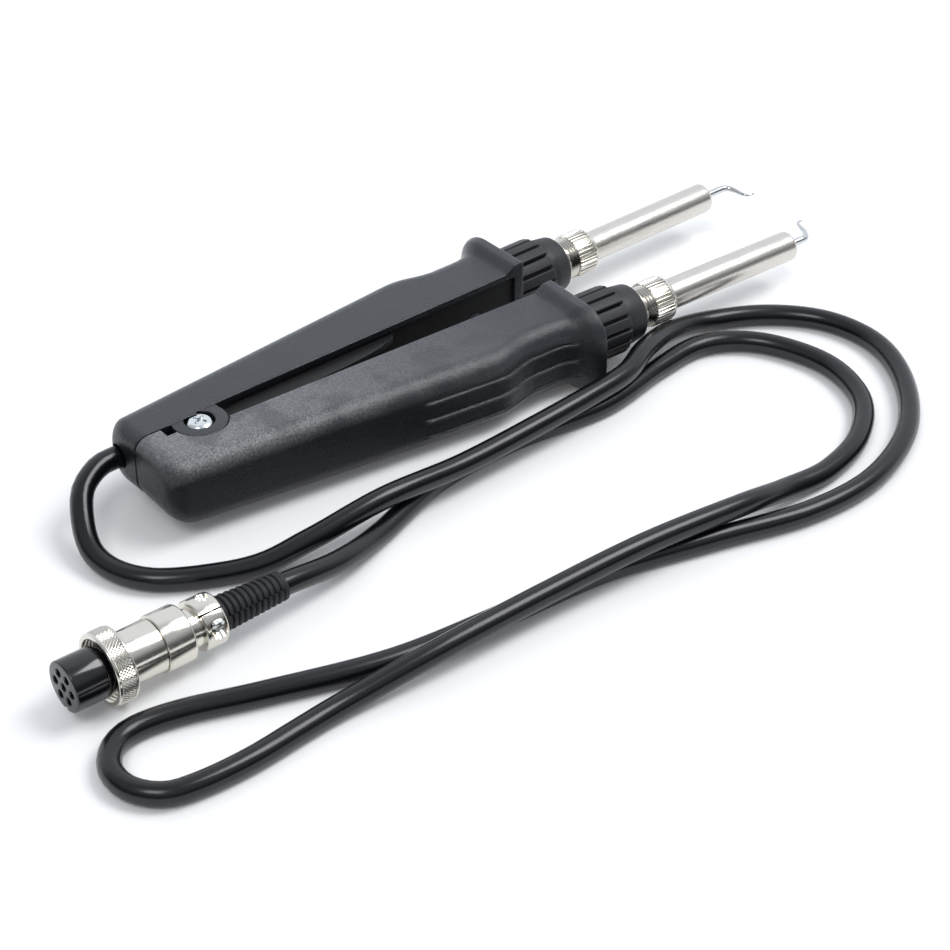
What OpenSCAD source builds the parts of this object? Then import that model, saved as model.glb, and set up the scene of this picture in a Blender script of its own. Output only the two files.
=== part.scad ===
// Hot tweezers with two hinged heater arms, a cord and a round locking plug.
// Millimetres. X runs from the hinge end to the tips, Y across the arms, Z up from the table.

/* [Arms] */
// From the hinge axis to the front face of the finger guards
grip_len = 112.5; // [106:0.5:120]
// From the hinge axis to the rear end
rear_len = 18.5; // [18:0.5:21]
// Height of an arm behind its guard
arm_h = 22; // [21.5:0.25:24]
// From the centre plane to an arm's inner face
half_gap = 3.2; // [3.1:0.1:3.8]
// From the centre plane to the outer face, at the hinge
pivot_w = 17.9; // [17.5:0.1:19.5]
// The same at the knee, where the finger waist starts
knee_w = 24.4; // [23.5:0.1:26]
// The same in the finger waist
waist_w = 21.6; // [21.2:0.1:22.8]
// The same at the guard
guard_w = 28.5; // [27:0.5:30.5]
// How far a guard stands above and below its arm
guard_lip = 2; // [1.5:0.25:3]
// Radius along the outer edges of an arm
edge_r = 5.5; // [4:0.25:6]
// Wall of the arm shells
wall = 2.2; // [1.8:0.1:2.4]
// Angle of each arm from the centre plane when open
open_half = 1.5; // [1.2:0.1:1.8]

/* [Hinge] */
// Diameter of the hinge screw
screw_d = 3; // [2.5:0.1:3]
// Diameter of its pan head
head_d = 7.2; // [6.6:0.1:7.4]
// Radius of the far arm's hinge ears
ear_r = 7.5; // [7.2:0.1:7.8]
// Thickness of an ear
ear_t = 4.2; // [4:0.1:4.6]
// Radius of the near arm's knuckle between the ears
knuckle_r = 6.4; // [6:0.1:6.5]
// Wire diameter of the return spring
spring_wire = 0.8; // [0.6:0.05:0.8]

/* [Heater heads] */
// From an arm's centre plane to its heater axis
axis_y = 13.3; // [13:0.1:13.8]
// Length of the ribbed part of a collar
rib_len = 13.5; // [11:0.5:15]
// Radius over the ribs
rib_r = 9.3; // [9:0.1:9.8]
// Number of ribs
ribs = 16; // [12:1:18]
// Radius of the smooth collar in front of the ribs
collar_r = 8; // [7.8:0.1:8.4]
// Length of the smooth collar
collar_len = 7.5; // [6:0.5:9]
// Outer radius of the nipple's thread
thread_r = 5.9; // [5.7:0.05:6]
// Outer radius of the clamp nut
nut_r = 6.6; // [6.4:0.1:7]
// Length of the clamp nut
nut_len = 8; // [7.5:0.25:9]
// Diameter of the enclosure tube
tube_d = 8.9; // [8.6:0.1:9.2]
// Length of tube that shows in front of the nut
tube_out = 48.5; // [40:0.5:54]
// Diameter of the ceramic heater rod
heater_d = 3.9; // [3.6:0.1:4.1]
// How far a tip reaches beyond its tube
tip_reach = 13; // [11:0.5:15]
// From an arm's centre plane to the end of its tip
tip_y = 5; // [4.6:0.1:6]
// Radius of a tip at its bare root
tip_root_r = 0.95; // [0.8:0.05:1.1]
// Radius of a tip at its end
tip_end_r = 0.45; // [0.35:0.05:0.6]

/* [Cord and plug] */
// Diameter of the cord
cord_d = 6; // [5.6:0.1:6.2]
// Diameter over the coupling ring
ring_d = 18.8; // [18.4:0.1:19]
// Length of the coupling ring
ring_len = 5.4; // [5:0.2:6]
// Diameter of the plug's insulator
nose_d = 13.2; // [12.8:0.1:13.4]
// Length of insulator in front of the ring
nose_len = 9.6; // [8:0.2:11]
// Diameter of the front barrel
barrel_d = 14; // [13.8:0.1:14.2]
// Diameter of the back shell
back_d = 14.6; // [14.4:0.1:15]
// Diameter of the boot at the clamp
boot_d = 9.4; // [9:0.1:9.8]

/* [Hidden] */
$fn = 64;

// Clearances: between bodies that pass each other, of a running fit, and of parts lying in each other
gap = 0.3;
run = 0.05;
seat = 0.1;

// Heights shared by both arms
top = guard_lip + arm_h;
mid = guard_lip + arm_h / 2;

// Stations along an arm, from the hinge axis
knee_x = grip_len - 32.5;
waist_x = grip_len - 20.5;
flare_x = grip_len - 14.5;
lip_x = grip_len - 6;
guard_x = grip_len - 2.3;
guard_r = 9.3;
rear_r = 4.5;
rear_top_r = 4.2;
rear_low_r = 7.7;
rise_x = knee_x - 20;
rear_rise = 1.6;

// Stations of a heater head, from the hinge axis
rib_end = grip_len + rib_len;
collar_end = rib_end + collar_len;
spigot_x = grip_len - 9;
socket_x = collar_end - 7;
spigot_r = 7.45;
lead_r = 4.8;
flange_end = collar_end + 1.3;
nut_x = collar_end + 3.5;
nut_end = nut_x + nut_len;
nut_lip = 1.6;
thread_end = nut_end - nut_lip - 1.5;
tube_end = nut_end + tube_out;
tube_r = tube_d / 2;
tube_wall = 0.5;
tube_flange_r = thread_r - 0.2;
tube_hole_r = tip_root_r + 0.4;
tip_x = tube_end + tip_reach;
shank_r = tube_r - tube_wall - 0.7;
shank_end = tube_end - 14;
heater_r = heater_d / 2;
base_x = socket_x - 4;

// The hinge axis lies so that the frame's origin is under the middle of the whole length
front_x = tip_x * cos(open_half) - tip_y * sin(open_half);
back_x = rear_len * cos(open_half) + (pivot_w - rear_r) * sin(open_half);
pivot_x = (back_x - front_x) / 2;

// The hinge stack, from the table up
foot_r = ear_r - 0.5;
low_ear = guard_lip + ear_t;
high_ear = top - ear_t;
bush_r = screw_d / 2 + 0.6;
coil_r = bush_r + 0.2 + spring_wire / 2;
coil_turns = 2.5;
coil_rise = spring_wire + 0.15;
coil_z = low_ear + 0.35 + spring_wire / 2;
knuckle_z = coil_z + coil_turns * coil_rise + spring_wire / 2 + 0.35;
leg_len = 21;
split_y = 2.2;
head_h = 1.9;
hex_af = screw_d * 1.83;
hex_h = 2.4;
hex_z = 0.6;

// The cavity and its cover
cover_t = 1.8;
cover_in = 0.8;
cover_y = half_gap + cover_in;
cover_screw_len = 10;
leg_y = cover_y + leg_len * sin(open_half) - spring_wire / 2 - 0.04;
cover_a = 11.5;
cover_b = grip_len - 3.2;
cover_z = 3;
cover_top = 1.8;
cavity_a = 13;
cavity_b = grip_len - 12;
cavity_z = 3.8;
post_x = [32, grip_len - 17];
post_r = 2.7;
drill_r = 1.15;
fin_top = top - cover_top - 0.1;
fin_t = 2;
fin_end = 66;
jumper_x = 17.5;
jumper_r = 1.2;
board_x = grip_len - 44;
board_l = 20;
board_h = 10;
board_y = axis_y - 3;
loom_z = [mid - 4.2, mid + 3.6];
loom_y = cover_y + cover_t + 2.8;

// The cord's port in the far arm
port_y = 11.2;
port_z = mid + 1.5;
port_r = cord_d / 2 + gap;
port_in = 4;

// The plug lies along X with its face towards -X
plug_x = -168;
plug_y = -54.5;
plug_z = 9.6;
nose_r = nose_d / 2;
waist_r = nose_r - 0.7;
ring_x = nose_len;
ring_end = ring_x + ring_len;
barrel_r = barrel_d / 2;
barrel_x = ring_end - 1.2;
barrel_end = ring_end + 9.6;
back_r = back_d / 2;
back_end = barrel_end + 8;
neck_r = 5.2;
neck_end = back_end + 3;
saddle_end = neck_end + 7;
boot_end = saddle_end + 19;
boot_ribs = 9;
sleeve_r = cord_d / 2 + 0.7;
clamp_r = 7.3;
clamp_turn = 56;
clamp_gap = 0.5;
clamp_screw_r = 0.9;
clamp_screw_y = sleeve_r + clamp_screw_r + 0.4;
clamp_head_z = 3.2;
clamp_head_r = 1.7;

// Route of the cord's middle line: its height is worked out from the cord where it lies flat
r = cord_d / 2;
exit_in = far_point([port_in - rear_len, port_y, port_z]);
exit_out = far_point([-rear_len, port_y, port_z]);
plug_exit = [plug_x + saddle_end, plug_y, plug_z];
boot_out = [plug_x + boot_end, plug_y, plug_z];
left_loop = [
    [-119.6, 9.8, port_z - 0.3], [-127.4, 4.6, port_z - 3.6],
    [-132.6, -9.5, r + 1], [-126, -25.5, r]
];
strand_a = [
    [-105, -36.8, r + 0.2], [-88, -40, r + 3.2], [-66, -41.2, r + 6.6], [-40, -40.4, r + 5],
    [-14, -39.2, r + 5.5], [7, -38, r + 6.4], [21, -35.8, r + 6.5], [33, -29.9, r + 6.4], [48, -24, r + 3.3]
];
outer_loop = [
    [63, -23.4, r + 0.5], [79, -31, r], [90.3, -44.5, r], [92.5, -62, r], [84, -80.5, r], [67.5, -97, r],
    [45, -106.6, r], [21, -107, r]
];
strand_b = [
    [-6, -100, r], [-36, -93, r], [-68, -90.8, r],
    [-98, -87.6, r], [-128, -78.6, r], [-147, -72, r]
];
low_loop = [
    [-159, -70, r], [-166.3, -72.4, r], [-170.9, -78.6, r], [-170.9, -86.4, r],
    [-166.3, -92.6, r], [-159, -95, r], [-144, -95.6, r]
];
strand_c = [
    [-118, -93.6, r + 0.4], [-88, -95.6, r + 4.3], [-56, -95.8, r + 5.3],
    [-26, -97.2, r + 6.5], [4, -99, r + 5.3], [22, -97.4, r + 1.4]
];
inner_loop = [[38, -96.8, r], [55, -91.2, r], [69, -78.4, r], [74, -60, r], [67.5, -41, r], [54, -31.4, r]];
strand_d = [
    [36, -32.4, r], [12, -36.9, r], [-18, -34.6, r], [-45, -36.8, r],
    [-70, -45.3, r + 0.1], [-88, -51.6, r + 3]
];
route = spread(concat(
    [exit_in, exit_out], left_loop, strand_a, outer_loop, strand_b, low_loop, strand_c,
    inner_loop, strand_d, [boot_out, plug_exit]
));

// Helpers
function mix(a, b, t) = a + (b - a) * t;
function smooth(t) = t * t * (3 - 2 * t);
function unit(v) = v / norm(v);

// Smooth curve through the points, one point for about each 14 mm, nowhere lower than a cord on the table
function bend(a, b, c, d, t) =
    b + t * (c - a) / 2 + t * t * (2 * a - 5 * b + 4 * c - d) / 2 + t * t * t * (3 * b - a - 3 * c + d) / 2;
function spread(p) =
    let (last = len(p) - 1)
    concat(
        [
            for (i = [0:last - 1])
                let (n = max(1, round(norm(p[i + 1] - p[i]) / 14)))
                for (k = [0:n - 1])
                    let (q = bend(p[max(i - 1, 0)], p[i], p[i + 1], p[min(i + 2, last)], k / n))
                    [q[0], q[1], max(q[2], r)]
        ],
        [p[last]]
    );

// A point of the far arm in the frame
function far_point(p) = [
    pivot_x + p[0] * cos(open_half) - p[1] * sin(open_half),
    p[0] * sin(open_half) + p[1] * cos(open_half),
    p[2]
];

// An arm's outline: outer face, lip over and under the arm, and the rounding of the rear end
function outer_w(x) =
    x < knee_x ? mix(pivot_w, knee_w, x / knee_x)
    : x < waist_x ? mix(knee_w, waist_w, smooth((x - knee_x) / (waist_x - knee_x)))
    : mix(waist_w, guard_w, flare(x));
function flare(x) = smooth(pow(max(0, min(1, (x - flare_x) / (grip_len - 0.5 - flare_x))), 1.6));
function lip(x) = guard_lip * smooth(max(0, min(1, (x - lip_x) / (guard_x - lip_x))));
function rise(x) = rear_rise * max(0, 1 - x / rise_x);
function tail(x, rad) =
    let (d = x + rear_len)
    d < rad ? rad - sqrt(rad * rad - (rad - d) * (rad - d)) : 0;
function nose(x) = max(0, x - grip_len + 0.6);

function arm_section(x) =
    let (
        y = outer_w(x) - tail(x, rear_r) - nose(x),
        lo = guard_lip - lip(x) + rise(x) + tail(x, rear_low_r) + nose(x),
        hi = top + lip(x) - tail(x, rear_top_r) - nose(x),
        e = min(mix(edge_r, guard_r, flare(x)), (hi - lo) / 2 - 0.05)
    )
    concat(
        [[x, -10, lo]],
        [for (a = [-90:15:0]) [x, y - e + e * cos(a), lo + e + e * sin(a)]],
        [for (a = [0:15:90]) [x, y - e + e * cos(a), hi - e + e * sin(a)]],
        [[x, -10, hi]]
    );
arm_stations = concat(
    [for (d = [0, 0.3, 0.9, 1.7, 2.6, 3.5, 4.5, 6, 7.7]) d - rear_len],
    [0, rise_x, knee_x],
    [for (t = [0.17:0.166:1]) mix(knee_x, waist_x, t)],
    [flare_x],
    [for (t = [0.25:0.25:1]) mix(flare_x, lip_x, t)],
    [for (t = [0.15, 0.3, 0.5, 0.7, 0.85, 1]) mix(lip_x, guard_x, t)],
    [grip_len - 1.3, grip_len - 0.6, grip_len]
);

// Skin of a row of rings with the same number of points, closed at both ends
module loft(rings) {
    n = len(rings[0]);
    m = len(rings);
    sides = [
        for (i = [0:m - 2], j = [0:n - 1], k = [0, 1])
            let (a = i * n + j, b = i * n + (j + 1) % n)
            k == 0 ? [a, a + n, b] : [b, a + n, b + n]
    ];
    polyhedron(
        points = [for (ring = rings, p = ring) p],
        faces = concat(sides, [[for (j = [0:n - 1]) j]], [[for (j = [n - 1:-1:0]) (m - 1) * n + j]]),
        convexity = 6
    );
}

// Round tube along a path; rad holds one radius for each point
function tube_ring(path, rad, i, n) =
    let (
        last = len(path) - 1,
        t = unit(path[min(i + 1, last)] - path[max(i - 1, 0)]),
        side = unit(cross([0, 0, 1], t)),
        up = cross(t, side)
    )
    [for (k = [0:n - 1]) path[i] + rad[i] * (cos(k * 360 / n) * side + sin(k * 360 / n) * up)];
module sweep(path, rad, n) {
    loft([for (i = [0:len(path) - 1]) tube_ring(path, rad, i, n)]);
}

// An arm's own frame: x from the hinge axis, y out from the centre plane
module place(side) {
    translate([pivot_x, 0, 0])
        rotate([0, 0, side * open_half])
            if (side > 0) {
                children();
            } else {
                mirror([0, 1, 0]) children();
            }
}

// Turned part on the heater axis: the profile is [radius, distance from the hinge axis]
module turned(profile) {
    translate([0, axis_y, mid])
        rotate([0, 90, 0])
            rotate_extrude()
                polygon(profile);
}

// Turned part on the plug's axis: the profile is [radius, distance behind the plug's face]
module plug_turned(profile) {
    translate([plug_x, plug_y, plug_z])
        rotate([0, 90, 0])
            rotate_extrude()
                polygon(profile);
}

module along_y(x, z, rad, y0, y1) {
    translate([x, y0, z])
        rotate([-90, 0, 0])
            cylinder(r = rad, h = y1 - y0);
}

module upright(rad, z0, z1) {
    translate([0, 0, z0])
        cylinder(r = rad, h = z1 - z0);
}

// Space behind an arm's cover
module cavity() {
    translate([0, 0, guard_lip + cavity_z])
        linear_extrude(arm_h - 2 * cavity_z)
            polygon([
                [cavity_a, half_gap - 1], [cavity_a, outer_w(cavity_a) - wall],
                [knee_x - 4, outer_w(knee_x - 4) - wall],
                [waist_x, waist_w - wall], [cavity_b, waist_w - wall], [cavity_b, half_gap - 1]
            ]);
}

// A cover lies a little deeper than the rim of its shell
module cover_plate(grow, out) {
    translate([cover_a - grow, cover_y - out, guard_lip + cover_z - grow])
        cube([cover_b - cover_a + 2 * grow, cover_t + out, arm_h - cover_z - cover_top + 2 * grow]);
}

// Screw posts and board posts inside a shell, grown from its outer wall
module posts() {
    for (x = post_x) {
        along_y(x, mid, post_r, cover_y + cover_t, outer_w(x) - 1);
    }
    for (x = [board_x + 3, board_x + board_l - 3]) {
        along_y(x, mid, 1.8, board_y + 1.6, outer_w(x) - 1);
    }
}

// The shell both arms share: trough, cover recess, heater bore
module shell_common() {
    difference() {
        children();
        difference() {
            cavity();
            posts();
        }
        cover_plate(seat, cover_in + 1);
        turned([[0, cavity_b - 1], [lead_r + 0.6, cavity_b - 1], [lead_r + 0.6, spigot_x - seat],
            [spigot_r + 0.05, spigot_x - seat], [spigot_r + 0.05, grip_len + 1], [0, grip_len + 1]]);
        for (x = post_x) {
            along_y(x, mid, drill_r, half_gap, outer_w(x) - 3);
        }
    }
}

// Everything on the wrong side of the parting plane behind the hinge
module behind_split(y) {
    rotate([0, 0, -open_half])
        translate([-60, y - 40, -1])
            cube([61, 40, top + 10]);
}

// Room for the return spring's legs between the hinge and the covers
module leg_groove() {
    translate([0, -30, low_ear])
        cube([cover_a, 30 + half_gap + 0.7, knuckle_z - low_ear]);
}

module far_shell() {
    color("#2b2e33") place(1) difference() {
        shell_common() union() {
            difference() {
                loft([for (x = arm_stations) arm_section(x)]);
                translate([0, half_gap - 40, -1]) cube([grip_len + 5, 40, top + 10]);
                behind_split(split_y + gap / 2);
            }
            upright(ear_r, high_ear, top);
            upright(ear_r, guard_lip, low_ear);
            upright(foot_r, 0, guard_lip + 0.5);
            for (z = [guard_lip, high_ear]) {
                translate([0.4 - ear_r, 0, z]) cube([2 * ear_r - 0.8, half_gap + 2, ear_t]);
            }
        }
        upright(knuckle_r + gap, low_ear, high_ear);
        leg_groove();
        upright(screw_d / 2 + seat, -1, top + 1);
        upright(head_d / 2 + 0.4, top - head_h - 0.3, top + 1);
        translate([0, 0, -1]) cylinder(d = (hex_af + 0.2) / cos(30), h = hex_z + hex_h + 1.1, $fn = 6);
        translate([-rear_len - 1, port_y, port_z])
            rotate([0, 90, 0])
                cylinder(r = port_r, h = rear_len + cavity_a + 2);
    }
}

module near_shell() {
    color("#2b2e33") place(-1) difference() {
        shell_common() union() {
            difference() {
                loft([for (x = arm_stations) arm_section(x)]);
                translate([0, half_gap - 40, -1]) cube([grip_len + 5, 40, top + 10]);
                behind_split(gap / 2 - split_y);
            }
            difference() {
                upright(knuckle_r, low_ear + gap, high_ear - gap);
                translate([-20, half_gap, 0]) cube([40, 40, top]);
            }
        }
        upright(ear_r + gap, high_ear - gap, top + 1);
        upright(ear_r + gap, -1, low_ear + gap);
        upright(knuckle_r + gap, low_ear, knuckle_z);
        upright(bush_r + run, 0, top);
        rotate([0, 0, -open_half])
            translate([-ear_r - 3.2, -4, high_ear - gap])
                cube([4, 5.6, ear_t + 1]);
        leg_groove();
    }
}

// Closing plate of an arm
module cover_blank() {
    difference() {
        cover_plate(0, 0);
        for (x = post_x) {
            along_y(x, mid, 1.3, half_gap - 1, cover_y + cover_t + 1);
            translate([x, cover_y - 0.01, mid])
                rotate([-90, 0, 0])
                    cylinder(r1 = 2.4, r2 = 1.3, h = 1.1);
        }
    }
}

// Plan of the fin that covers the wires in front of the hinge
module fin_plan() {
    polygon(concat(
        [[8.5, cover_y + 0.5], [8.5, -2.2], [fin_end - 24, -1.1]],
        [for (a = [-90:15:0]) [fin_end - 24 + 24 * cos(a), cover_y + (cover_y + 1.1) * sin(a)]],
        [[fin_end, cover_y + 0.5]]
    ));
}

module far_cover() {
    color("#24272b") place(1) difference() {
        union() {
            cover_blank();
            translate([0, 0, fin_top - fin_t])
                linear_extrude(fin_t)
                    intersection() {
                        fin_plan();
                        translate([cover_a, -10]) square([100, 40]);
                    }
        }
        along_y(jumper_x, mid, jumper_r + 0.3, half_gap - 1, cover_y + cover_t + 1);
    }
}

module near_cover() {
    color("#24272b") place(-1) difference() {
        cover_blank();
        along_y(jumper_x, mid, jumper_r + 0.9, half_gap - 1, cover_y + cover_t + 1);
    }
}

// Countersunk screws that hold a cover
module cover_screw_set() {
    for (x = post_x) {
        translate([x, cover_y + 0.1, mid])
            rotate([-90, 0, 0]) {
                cylinder(r1 = 2.2, r2 = 1.1, h = 1.1);
                cylinder(r = 1.1, h = cover_screw_len);
            }
    }
}
module far_cover_screws() {
    color("#8f9398") place(1) cover_screw_set();
}
module near_cover_screws() {
    color("#8f9398") place(-1) cover_screw_set();
}

// Ribbed collar that carries the heater
module collar() {
    turned([[lead_r, spigot_x], [spigot_r, spigot_x], [spigot_r, grip_len + 0.02],
        [rib_r - 1.2, grip_len + 0.02],
        [rib_r - 1.2, rib_end], [collar_r, rib_end + 0.6], [collar_r, collar_end - 0.9],
        [collar_r - 0.3, collar_end - 0.3], [collar_r - 0.9, collar_end], [thread_r + seat, collar_end],
        [thread_r + seat, socket_x], [lead_r, socket_x]]);
    translate([0, axis_y, mid])
        for (i = [0:ribs - 1]) {
            rotate([i * 360 / ribs, 0, 0])
                translate([grip_len + 0.02, 0.5 - PI * rib_r / ribs, rib_r - 2])
                    cube([rib_len, 2 * PI * rib_r / ribs - 1, 1.9]);
        }
}
module far_collar() {
    color("#1f2124") place(1) collar();
}
module near_collar() {
    color("#1f2124") place(-1) collar();
}

// Threaded nipple pressed into the collar
module nipple() {
    turned([[4.5, socket_x + seat], [thread_r, socket_x + seat], [thread_r, collar_end + 0.05],
        [thread_r + 0.9, collar_end + 0.05], [thread_r + 0.9, flange_end], [thread_r, flange_end],
        [thread_r, thread_end - 0.4], [thread_r - 0.4, thread_end], [4.5, thread_end]]);
}
module far_nipple() {
    color("#c9c6bd") place(1) nipple();
}
module near_nipple() {
    color("#c9c6bd") place(-1) nipple();
}

// Clamp nut: its lip holds the tube's flange against the nipple
module clamp_nut() {
    turned([[thread_r + run, nut_x], [nut_r - 0.5, nut_x], [nut_r, nut_x + 0.5], [nut_r, nut_end - 0.8],
        [nut_r - 0.8, nut_end], [tube_r + seat, nut_end], [tube_r + seat, nut_end - nut_lip],
        [thread_r + run, nut_end - nut_lip]]);
}
module far_nut() {
    color("#c9c6bd") place(1) clamp_nut();
}
module near_nut() {
    color("#c9c6bd") place(-1) clamp_nut();
}

// Enclosure tube with a rear flange and a closed round end
module enclosure() {
    turned([[tube_r - tube_wall, thread_end + 0.1], [tube_flange_r, thread_end + 0.1],
        [tube_flange_r, nut_end - nut_lip - seat], [tube_r, nut_end - nut_lip - seat],
        [tube_r, tube_end - 1.4],
        [tube_r - 0.4, tube_end - 0.4], [tube_r - 1.4, tube_end], [tube_hole_r, tube_end],
        [tube_hole_r, tube_end - 0.8], [tube_r - tube_wall, tube_end - 1.5]]);
}
module far_tube() {
    color("#b9b7b1") place(1) enclosure();
}
module near_tube() {
    color("#b9b7b1") place(-1) enclosure();
}

// Tip: hollow shank over the heater, and a wire end bent in and then forward
module tip() {
    bend_x = tip_x - 3.4;
    path = [
        [shank_end + 8.5, axis_y], [tube_end + 1, axis_y], [bend_x - 2.6, axis_y],
        [bend_x - 1.1, axis_y - 0.4],
        [bend_x - 0.1, axis_y - 1.5], [bend_x + 0.3, axis_y - 3], [bend_x + 0.4, mix(axis_y, tip_y, 0.6)],
        [bend_x + 0.6, tip_y + 1.5], [bend_x + 1.2, tip_y + 0.5], [bend_x + 2.1, tip_y], [tip_x, tip_y]
    ];
    last = len(path) - 1;
    turned([[heater_r + 0.15, thread_end + 0.3], [shank_r, thread_end + 0.3], [shank_r, shank_end],
        [tip_root_r, shank_end + 9], [0, shank_end + 9], [0, shank_end - 3],
        [heater_r + 0.15, shank_end - 3]]);
    sweep(
        [for (p = path) [p[0], p[1], mid]],
        [for (i = [0:last]) mix(tip_root_r, tip_end_r, smooth(i / last))],
        12
    );
}
module far_tip() {
    color("#aeb6bf") place(1) tip();
}
module near_tip() {
    color("#aeb6bf") place(-1) tip();
}

// Ceramic heater rod with its base
module heater() {
    turned([[0, base_x], [4.4, base_x], [4.4, socket_x], [4.4, socket_x + 3], [heater_r, socket_x + 3],
        [heater_r, shank_end - 3.6], [0, shank_end - 3.6]]);
}
module far_heater() {
    color("#e6e1d6") place(1) heater();
}
module near_heater() {
    color("#e6e1d6") place(-1) heater();
}

// Terminal board on its posts, with the heater's leads
module lead_wires() {
    for (z = [-1.8, 1.8]) {
        sweep(
            [[board_x + board_l - 1, board_y + 0.8, mid + z],
            [board_x + board_l + 4, board_y + 0.8, mid + z],
                [post_x[1] - 2, board_y + 1, mid + z * 2.2], [post_x[1] + 2, axis_y - 1.5, mid + z * 2.2],
                [spigot_x - 1, axis_y, mid + z], [base_x - 0.05, axis_y, mid + z]],
            [0.5, 0.5, 0.5, 0.5, 0.5, 0.5],
            8
        );
    }
}
module board_set() {
    translate([board_x, board_y, mid - board_h / 2]) cube([board_l, 1.58, board_h]);
    lead_wires();
}
module far_board() {
    color("#6b5a34") place(1) board_set();
}
module near_board() {
    color("#6b5a34") place(-1) board_set();
}

// Wires inside an arm, between the hinge and the board
module loom() {
    for (z = loom_z) {
        translate([cavity_a + 4.5, loom_y, z])
            rotate([0, 90, 0])
                cylinder(r = 0.7, h = board_x - cavity_a - 4, $fn = 24);
        translate([board_x - 0.6, loom_y - 0.7, z - 0.7])
            cube([1.4, board_y - loom_y + 0.68, 1.4]);
    }
}
module far_loom() {
    color("#b03a2e") place(1) loom();
}
module near_loom() {
    color("#b03a2e") place(-1) loom();
}

// Hinge screw, its nut and the spacer the near arm turns on
module pivot_screw() {
    color("#cfd2d4") translate([pivot_x, 0, 0]) difference() {
        union() {
            upright(screw_d / 2, 0.9, top - 0.4);
            translate([0, 0, top - head_h - 0.2])
                rotate_extrude()
                    polygon([[0, 0], [head_d / 2, 0], [head_d / 2, 1.1], [head_d / 2 - 0.5, 1.6],
                        [head_d / 4, head_h],
                        [0, head_h]]);
        }
        for (a = [0, 90]) {
            rotate([0, 0, a])
                translate([-head_d * 0.3, -0.4, top - 1.3])
                    cube([head_d * 0.6, 0.8, 3]);
        }
    }
}
module pivot_nut() {
    color("#9da1a5") translate([pivot_x, 0, hex_z]) rotate([0, 0, open_half]) difference() {
        cylinder(d = hex_af / cos(30), h = hex_h, $fn = 6);
        translate([0, 0, -1]) cylinder(r = screw_d / 2 + 0.02, h = hex_h + 2);
    }
}
module pivot_bush() {
    color("#c2a35a") translate([pivot_x, 0, 0]) difference() {
        upright(bush_r, low_ear + 0.02, high_ear - 0.02);
        upright(screw_d / 2 + run, 0, top);
    }
}

// Return spring round the bush, with a leg against each arm
module return_spring() {
    last = 360 * coil_turns + 90;
    lean = (leg_y - coil_r) / leg_len;
    coil = [
        for (a = [90:22.5:last])
            [coil_r * cos(a), coil_r * sin(a), coil_z + coil_rise * (a - 90) / 360]
    ];
    high = coil_z + coil_rise * coil_turns;
    path = concat(
        [[leg_len, coil_r + leg_len * lean, coil_z], [3, coil_r + 3 * lean, coil_z]],
        coil,
        [[3, -coil_r - 3 * lean, high], [leg_len, -coil_r - leg_len * lean, high]]
    );
    color("#7d8287") translate([pivot_x, 0, 0])
        sweep(path, [for (p = path) spring_wire / 2], 8);
}

// Lead that crosses from one arm to the other beside the hinge
module jumper_lead() {
    color("#20242a") translate([pivot_x, 0, 0])
        along_y(jumper_x, mid, jumper_r, -half_gap - 5.2, half_gap + 5.2);
}

// Rubber gland round the cord's wires inside the far arm
module cord_gland() {
    color("#1b1d20") place(1)
        translate([port_in - rear_len + 0.05, port_y, port_z])
            rotate([0, 90, 0])
                cylinder(r = port_r - seat, h = rear_len - port_in + cavity_a + 4);
}

// Cord from the far arm to the plug's clamp
module cord() {
    color("#17181a") sweep(route, [for (p = route) r], 10);
}

// Plug, from its face back
module plug_insulator() {
    color("#141517") difference() {
        plug_turned([[0, 0], [nose_r - 0.4, 0], [nose_r, 0.4], [nose_r, ring_x - 0.3],
            [waist_r, ring_x - 0.3],
            [waist_r, barrel_x + 1.5], [barrel_r - 1.3, barrel_x + 1.5],
            [barrel_r - 1.3, barrel_end - 1], [0, barrel_end - 1]]);
        translate([plug_x, plug_y, plug_z])
            rotate([0, 90, 0]) {
                socket_holes(1.05, -1, 8);
                translate([nose_r - 0.9, -0.9, -1]) cube([3, 1.8, ring_x]);
            }
    }
}
module socket_holes(rad, z0, h) {
    translate([0, 0, z0]) cylinder(r = rad, h = h, $fn = 32);
    for (a = [30:60:330]) {
        rotate([0, 0, a])
            translate([nose_r * 0.55, 0, z0])
                cylinder(r = rad, h = h, $fn = 32);
    }
}
module plug_contacts() {
    color("#c8a24a") translate([plug_x, plug_y, plug_z]) rotate([0, 90, 0]) difference() {
        socket_holes(0.95, 1.2, 5.7);
        socket_holes(0.6, 0, 6);
    }
}
module coupling_ring() {
    color("#d2cfc6") plug_turned([[nose_r + 1.3, ring_x], [ring_d / 2 - 0.5, ring_x],
        [ring_d / 2, ring_x + 0.5],
        [ring_d / 2, ring_end - 0.5], [ring_d / 2 - 0.5, ring_end], [barrel_r + run, ring_end],
        [barrel_r + run, barrel_x + 0.1], [nose_r + 1.3, barrel_x + 0.1]]);
}
module plug_barrel() {
    color("#d2cfc6") plug_turned([[waist_r + 0.02, barrel_x - 1], [nose_r + 1.05, barrel_x - 1],
        [nose_r + 1.05, barrel_x],
        [barrel_r, barrel_x], [barrel_r, barrel_end], [barrel_r - 1.2, barrel_end],
        [barrel_r - 1.2, barrel_x + 1.6], [waist_r + 0.02, barrel_x + 1.6]]);
}
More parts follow.
